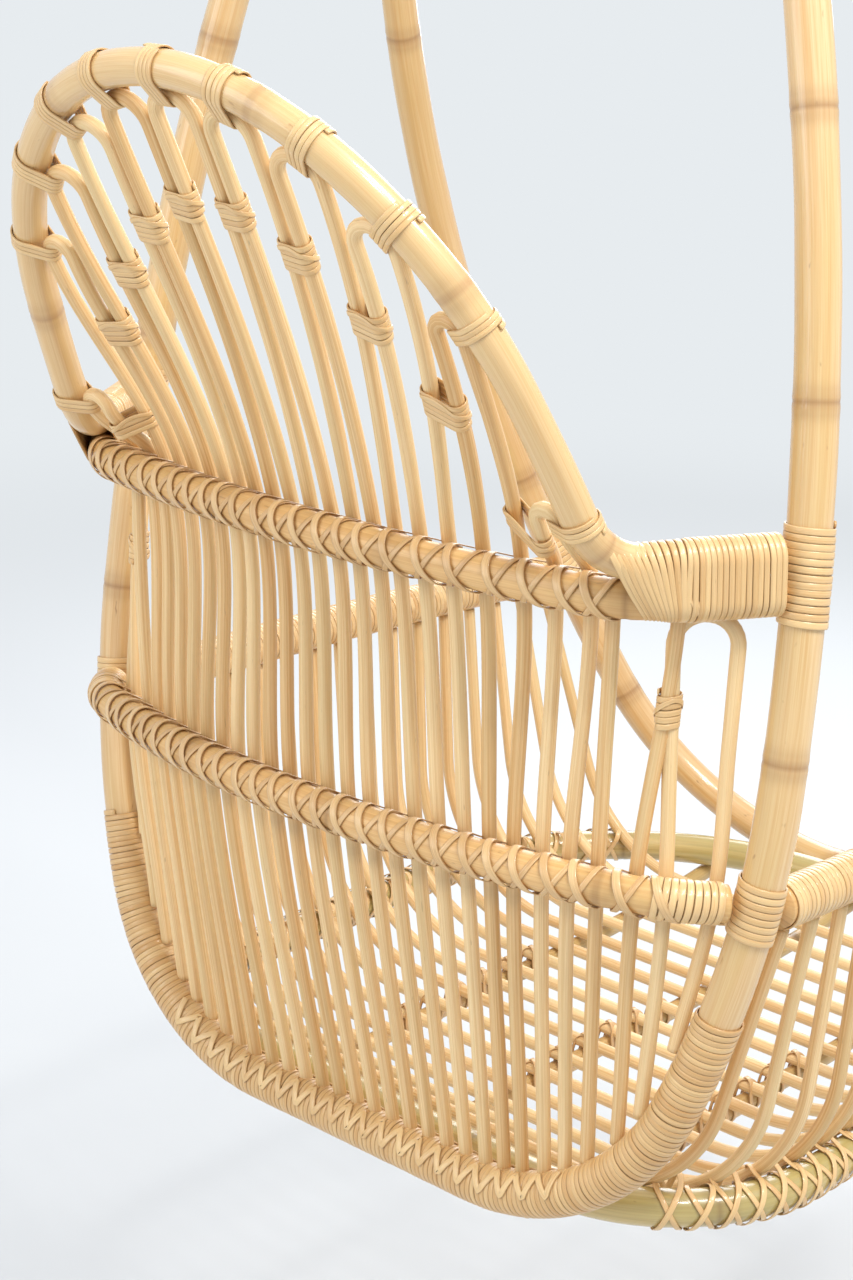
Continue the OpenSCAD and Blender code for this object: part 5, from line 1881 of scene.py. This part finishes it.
@dataclass
class Seat:
    """Base ring, seat rods, runners, arm rims and their bindings."""

    builder: Builder
    seed: int = 37
    ring_rings: tuple[float, float] = (60, 232)  # first node ring, and their spacing
    runner_rings: tuple[float, float] = (90, 170)
    pole_tone: float = 0.5
    rim_tone: float = 0.45
    rod_tone: tuple[float, ...] = (0.55, 0.12, 0.2, 0.9)
    rods_each: int = 4  # in each CAD node
    rim_winding: Winding = Winding(4.9)
    rim_end: float = 1
    strip_spare: float = 0.2
    ring_under: Lap = Lap(9.5, width=4.4, lift=0.1)
    ring_over: Lap = Lap(-9.5, width=4.8, lift=0.9)
    ring_range: tuple[float, float] = (0.9, 1.15)  # shares of a strip's lean
    ring_tones: tuple = ((0.4, 0.65), (0.5, 0.85))
    ring_phase: float = 0.14
    between_apart: float = 2.0  # a turn between rods runs round a second circle, this far off
    between_sink: float = 1  # and this much smaller than the ring
    knot_laps: tuple[Lap, Lap] = (Lap(6.5, 4.2, 0.1, 1.2), Lap(-6.5, 4.4, 1.1, 1.2))
    knot_tones: tuple = ((0.2, 0.5), (0.3, 0.6))
    knot_margin: float = 4  # from the runner's bends

    def build(self) -> None:
        """Makes every part of the seat."""
        rng = np.random.default_rng(self.seed)
        self.builder.add_pole("base_ring_pole", "base_ring", RING.doubled(), Z.ring_d,
                              self.ring_rings, self.pole_tone, Slot.RING, rng)
        for i, place in enumerate(("rear", "rear_middle", "front_middle", "front")):
            rods = []
            for j in range(self.rods_each):
                path = seat_rod(rod_y(self.rods_each * i + j))
                tone = some_tone(rng, *self.rod_tone)
                rods.append(pole(path, Z.spindle_d, rng, tone, cane=THIN_CANE))
            name = f"{place}_seat"
            self.builder.add(f"{name}_canes", joined(rods), Slot.CANE, f"{name}_rods")
        for side, x in (("left", Z.runner_gap), ("middle", 0.0), ("right", -Z.runner_gap)):
            self.builder.add_pole(f"{side}_runner_pole", f"{side}_seat_runner", runner_path(x),
                                  Z.runner_d, self.runner_rings, self.pole_tone, Slot.RUNNER, rng,
                                  RUNNER_CANE)
        self.rims(rng)
        self.ring_strips(rng)
        self.knots(rng)

    def rims(self, rng: Rng) -> None:
        """Makes the arm rims and winds them from end to end with a fine strip.

        Args:
            rng: source of the unevenness.
        """
        ends = (self.rim_end, RIM.length - self.rim_end)
        for side, m in (("left", 1), ("right", -1)):
            bar = pole(RIM, Z.rim_d, rng, self.rim_tone)
            wound = coil(RIM, ends, Z.rim_d / 2 + Z.gap, self.rim_winding, rng)
            self.builder.add(f"{side}_rim_pole", on_side(bar, m), Slot.RAIL, f"{side}_arm_rim")
            self.builder.add(f"{side}_rim_strips", on_side(wound, m), Slot.PALE, f"{side}_rim_wrap")

    def ring_strips(self, rng: Rng) -> None:
        """Crosses strips round the base ring at each seat rod, and once between two rods.

        Args:
            rng: source of the unevenness.
        """
        parts = []
        up = vec(0, 0, 1)
        on_rod = ((Z.ring_d + Z.spindle_d) / 2 + Z.gap, Z.spindle_d / 2)
        between = (self.between_apart, Z.ring_d / 2 - self.between_sink)
        for i in range(2 * Z.rods - 1):
            y = rod_y(i / 2)
            w, slant = ring_half(y, 0)
            along = vec(math.sqrt(1 - slant**2) * (1 if y > RING_CY else -1), -slant, 0)
            out = np.cross(along, up)
            out = out if out[0] > 0 else -out
            across = unit(up - out)
            apart, r2 = between if i % 2 else on_rod
            grip = Grip(vec(w, y, 0), across, along, Z.ring_d / 2 + self.strip_spare,
                        r2 + self.strip_spare, apart)
            phase = math.copysign(self.ring_phase, np.cross(along, across) @ (out + up))
            for m in (1, -1):
                grow = rng.uniform(*self.ring_range)
                laps = [replace(lap, lean=lap.lean * grow, phase=phase, tone=rng.uniform(*tones))
                        for lap, tones in zip((self.ring_under, self.ring_over), self.ring_tones)]
                parts.append(on_side(joined([grip.lap(lap) for lap in laps]), m))
        self.builder.add("ring_strips", joined(parts), Slot.PALE, "ring_lashings")

    def knots(self, rng: Rng) -> None:
        """Ties two crossed turns where each seat rod passes a runner's flat part.

        Args:
            rng: source of the shades.
        """
        parts = []
        radii = (Z.runner_d / 2 + self.strip_spare, Z.spindle_d / 2 + self.strip_spare)
        low, high = RING_FY + self.knot_margin, RING_CY - self.knot_margin
        places = [y for y in (rod_y(i) for i in range(Z.rods)) if low < y < high]
        for x in (-Z.runner_gap, 0.0, Z.runner_gap):
            path = runner_path(x)
            for y in places:
                p, rod = columns(y, path.p[:, 1], path.p), seat_rod(y)
                apart = float(np.interp(x, rod.p[:, 0], rod.p[:, 2]) - p[2])
                grip = Grip(p, vec(0, 0, 1), vec(0, 1, 0), *radii, apart)
                parts += [grip.lap(replace(lap, tone=rng.uniform(*tones)))
                          for lap, tones in zip(self.knot_laps, self.knot_tones)]
        self.builder.add("runner_knot_strips", joined(parts), Slot.GOLD, "runner_knots")


@dataclass
class Hanger:
    """The swivel and bracket at the top, shown as the CAD has them."""

    builder: Builder

    def build(self) -> None:
        """Finishes each metal part."""
        for node in ("swivel_eye", "swivel_jaw"):
            self.builder.dress(node, Slot.BRIGHT)
        for node in ("clevis_pin", "through_bolt", "bolt_washers", "bolt_nut"):
            self.builder.dress(node, Slot.FASTENER)
        self.builder.dress("hanger_bracket", Slot.BRACKET)


@dataclass(frozen=True)
class Lamp:
    """A round area light: metres right, up and back of the aim, size, watts and colour."""

    name: str
    offset: tuple[float, float, float]
    size: float
    power: float
    colour: tuple[float, float, float]


LAMPS = (
    Lamp("key", (1.3, 1.9, 1.7), 1.1, 62, (1.0, 0.985, 0.96)),
    Lamp("glint", (0.7, 1.6, 2.3), 0.22, 16, (1.0, 1.0, 1.0)),
    Lamp("fill", (-2.4, 0.6, 1.4), 2.0, 26, (0.93, 0.97, 1.0)),
    Lamp("back_light", (0.6, 1.8, -2.2), 2.0, 45, (0.95, 0.98, 1.0)),
)


@dataclass
class Studio:
    """Camera, lights, floor and the pale surround; the camera's place is in chair millimetres."""

    position: tuple = (-1276.1, 1542.1, 1016.0)
    azimuth: float = 222.32
    elevation: float = 18.21
    roll: float = 1.27
    lens: float = 73.345
    sensor: float = 36
    clip: tuple[float, float] = (0.05, 200)
    aim: tuple = (0, 0.05, -0.95)
    seen: tuple = (0.80, 0.838, 0.865, 1)
    sky: tuple = (0.93, 0.96, 1.0, 1)
    sky_power: float = 0.9
    floor_half: float = 40.0
    floor_z: float = -1.9
    floor_colour: tuple = (0.60, 0.61, 0.62, 1)
    floor_fade: tuple[float, float] = (2.4, 4.5)

    def build(self) -> None:
        """Makes the whole set."""
        self.camera()
        for lamp in LAMPS:
            self.light(lamp)
        self.surround()
        self.floor()

    def axes(self) -> tuple[Array, Array, Array]:
        """Right, up and back of the camera in the frame.

        Returns:
            The three directions, turned by the roll.
        """
        a, e = self.azimuth, self.elevation
        back = vec(sin(a) * cos(e), -cos(a) * cos(e), sin(e))
        level = vec(cos(a), sin(a), 0)
        upright = np.cross(back, level)
        right = level * cos(self.roll) + upright * sin(self.roll)
        up = upright * cos(self.roll) - level * sin(self.roll)
        return turn_x(right), turn_x(up), turn_x(back)

    def camera(self) -> None:
        """Makes the camera."""
        data = bpy.data.cameras.new("camera")
        data.sensor_fit, data.sensor_width, data.lens = "AUTO", self.sensor, self.lens
        data.clip_start, data.clip_end = self.clip
        cam = bpy.data.objects.new("camera", data)
        bpy.context.scene.collection.objects.link(cam)
        place = np.eye(4)
        place[:3] = np.stack([*self.axes(), hang(vec(*self.position))], -1)
        cam.matrix_world = Matrix(place.tolist())
        bpy.context.scene.camera = cam

    def light(self, lamp: Lamp) -> None:
        """Makes a lamp aimed at the chair.

        Args:
            lamp: its place and power.
        """
        data = bpy.data.lights.new(lamp.name, "AREA")
        data.shape, data.size, data.energy, data.color = "DISK", lamp.size, lamp.power, lamp.colour
        obj = bpy.data.objects.new(lamp.name, data)
        bpy.context.scene.collection.objects.link(obj)
        offset = sum(axis * length for axis, length in zip(self.axes(), lamp.offset))
        obj.location = vec(*self.aim) + offset
        obj.rotation_euler = Vector(-offset).to_track_quat("-Z", "Y").to_euler()

    def surround(self) -> None:
        """Makes a very pale world, seen a little darker than it lights."""
        world = bpy.data.worlds.new("surround")
        bpy.context.scene.world = world
        world.use_nodes = True
        g = Nodes(world.node_tree)
        seen = g.add("ShaderNodeBackground", {0: self.seen, 1: 1.0}).outputs[0]
        light = g.add("ShaderNodeBackground", {0: self.sky, 1: self.sky_power}).outputs[0]
        ray = g.add("ShaderNodeLightPath").outputs["Is Camera Ray"]
        both = g.add("ShaderNodeMixShader", {0: ray, 1: light, 2: seen}).outputs[0]
        g.add("ShaderNodeOutputWorld", {0: both})

    def floor(self) -> None:
        """Makes a pale floor that fades into the world with the distance from the middle."""
        half, z = self.floor_half, self.floor_z
        corners = [(-half, -half, z), (half, -half, z), (half, half, z), (-half, half, z)]
        mesh = bpy.data.meshes.new("floor")
        mesh.from_pydata(corners, [], [(0, 1, 2, 3)])
        floor = bpy.data.objects.new("floor", mesh)
        bpy.context.scene.collection.objects.link(floor)
        material = bpy.data.materials.new("floor_look")
        material.use_nodes = True
        g = Nodes(material.node_tree)
        place = g.add("ShaderNodeTexCoord").outputs["Object"]
        distance = g.add("ShaderNodeVectorMath", {0: place}, operation="LENGTH").outputs["Value"]
        matt = g.add("ShaderNodeBsdfDiffuse", {0: self.floor_colour}).outputs[0]
        glow = g.add("ShaderNodeEmission", {0: self.seen, 1: 1.0}).outputs[0]
        far = g.ramp(distance, *self.floor_fade)
        both = g.add("ShaderNodeMixShader", {0: far, 1: matt, 2: glow}).outputs[0]
        g.add("ShaderNodeOutputMaterial", {0: both})
        mesh.materials.append(material)


def main() -> None:
    """Builds the chair's looks and the set round it."""
    logging.basicConfig(level=logging.INFO, format="%(name)s: %(message)s")
    bpy.context.scene.view_settings.view_transform = "Standard"
    builder = Builder()
    for piece in (Hoops(builder), Back(builder), Seat(builder), Hanger(builder), Studio()):
        LOG.info("building %s", type(piece).__name__)
        piece.build()


if __name__ == "__main__":
    main()
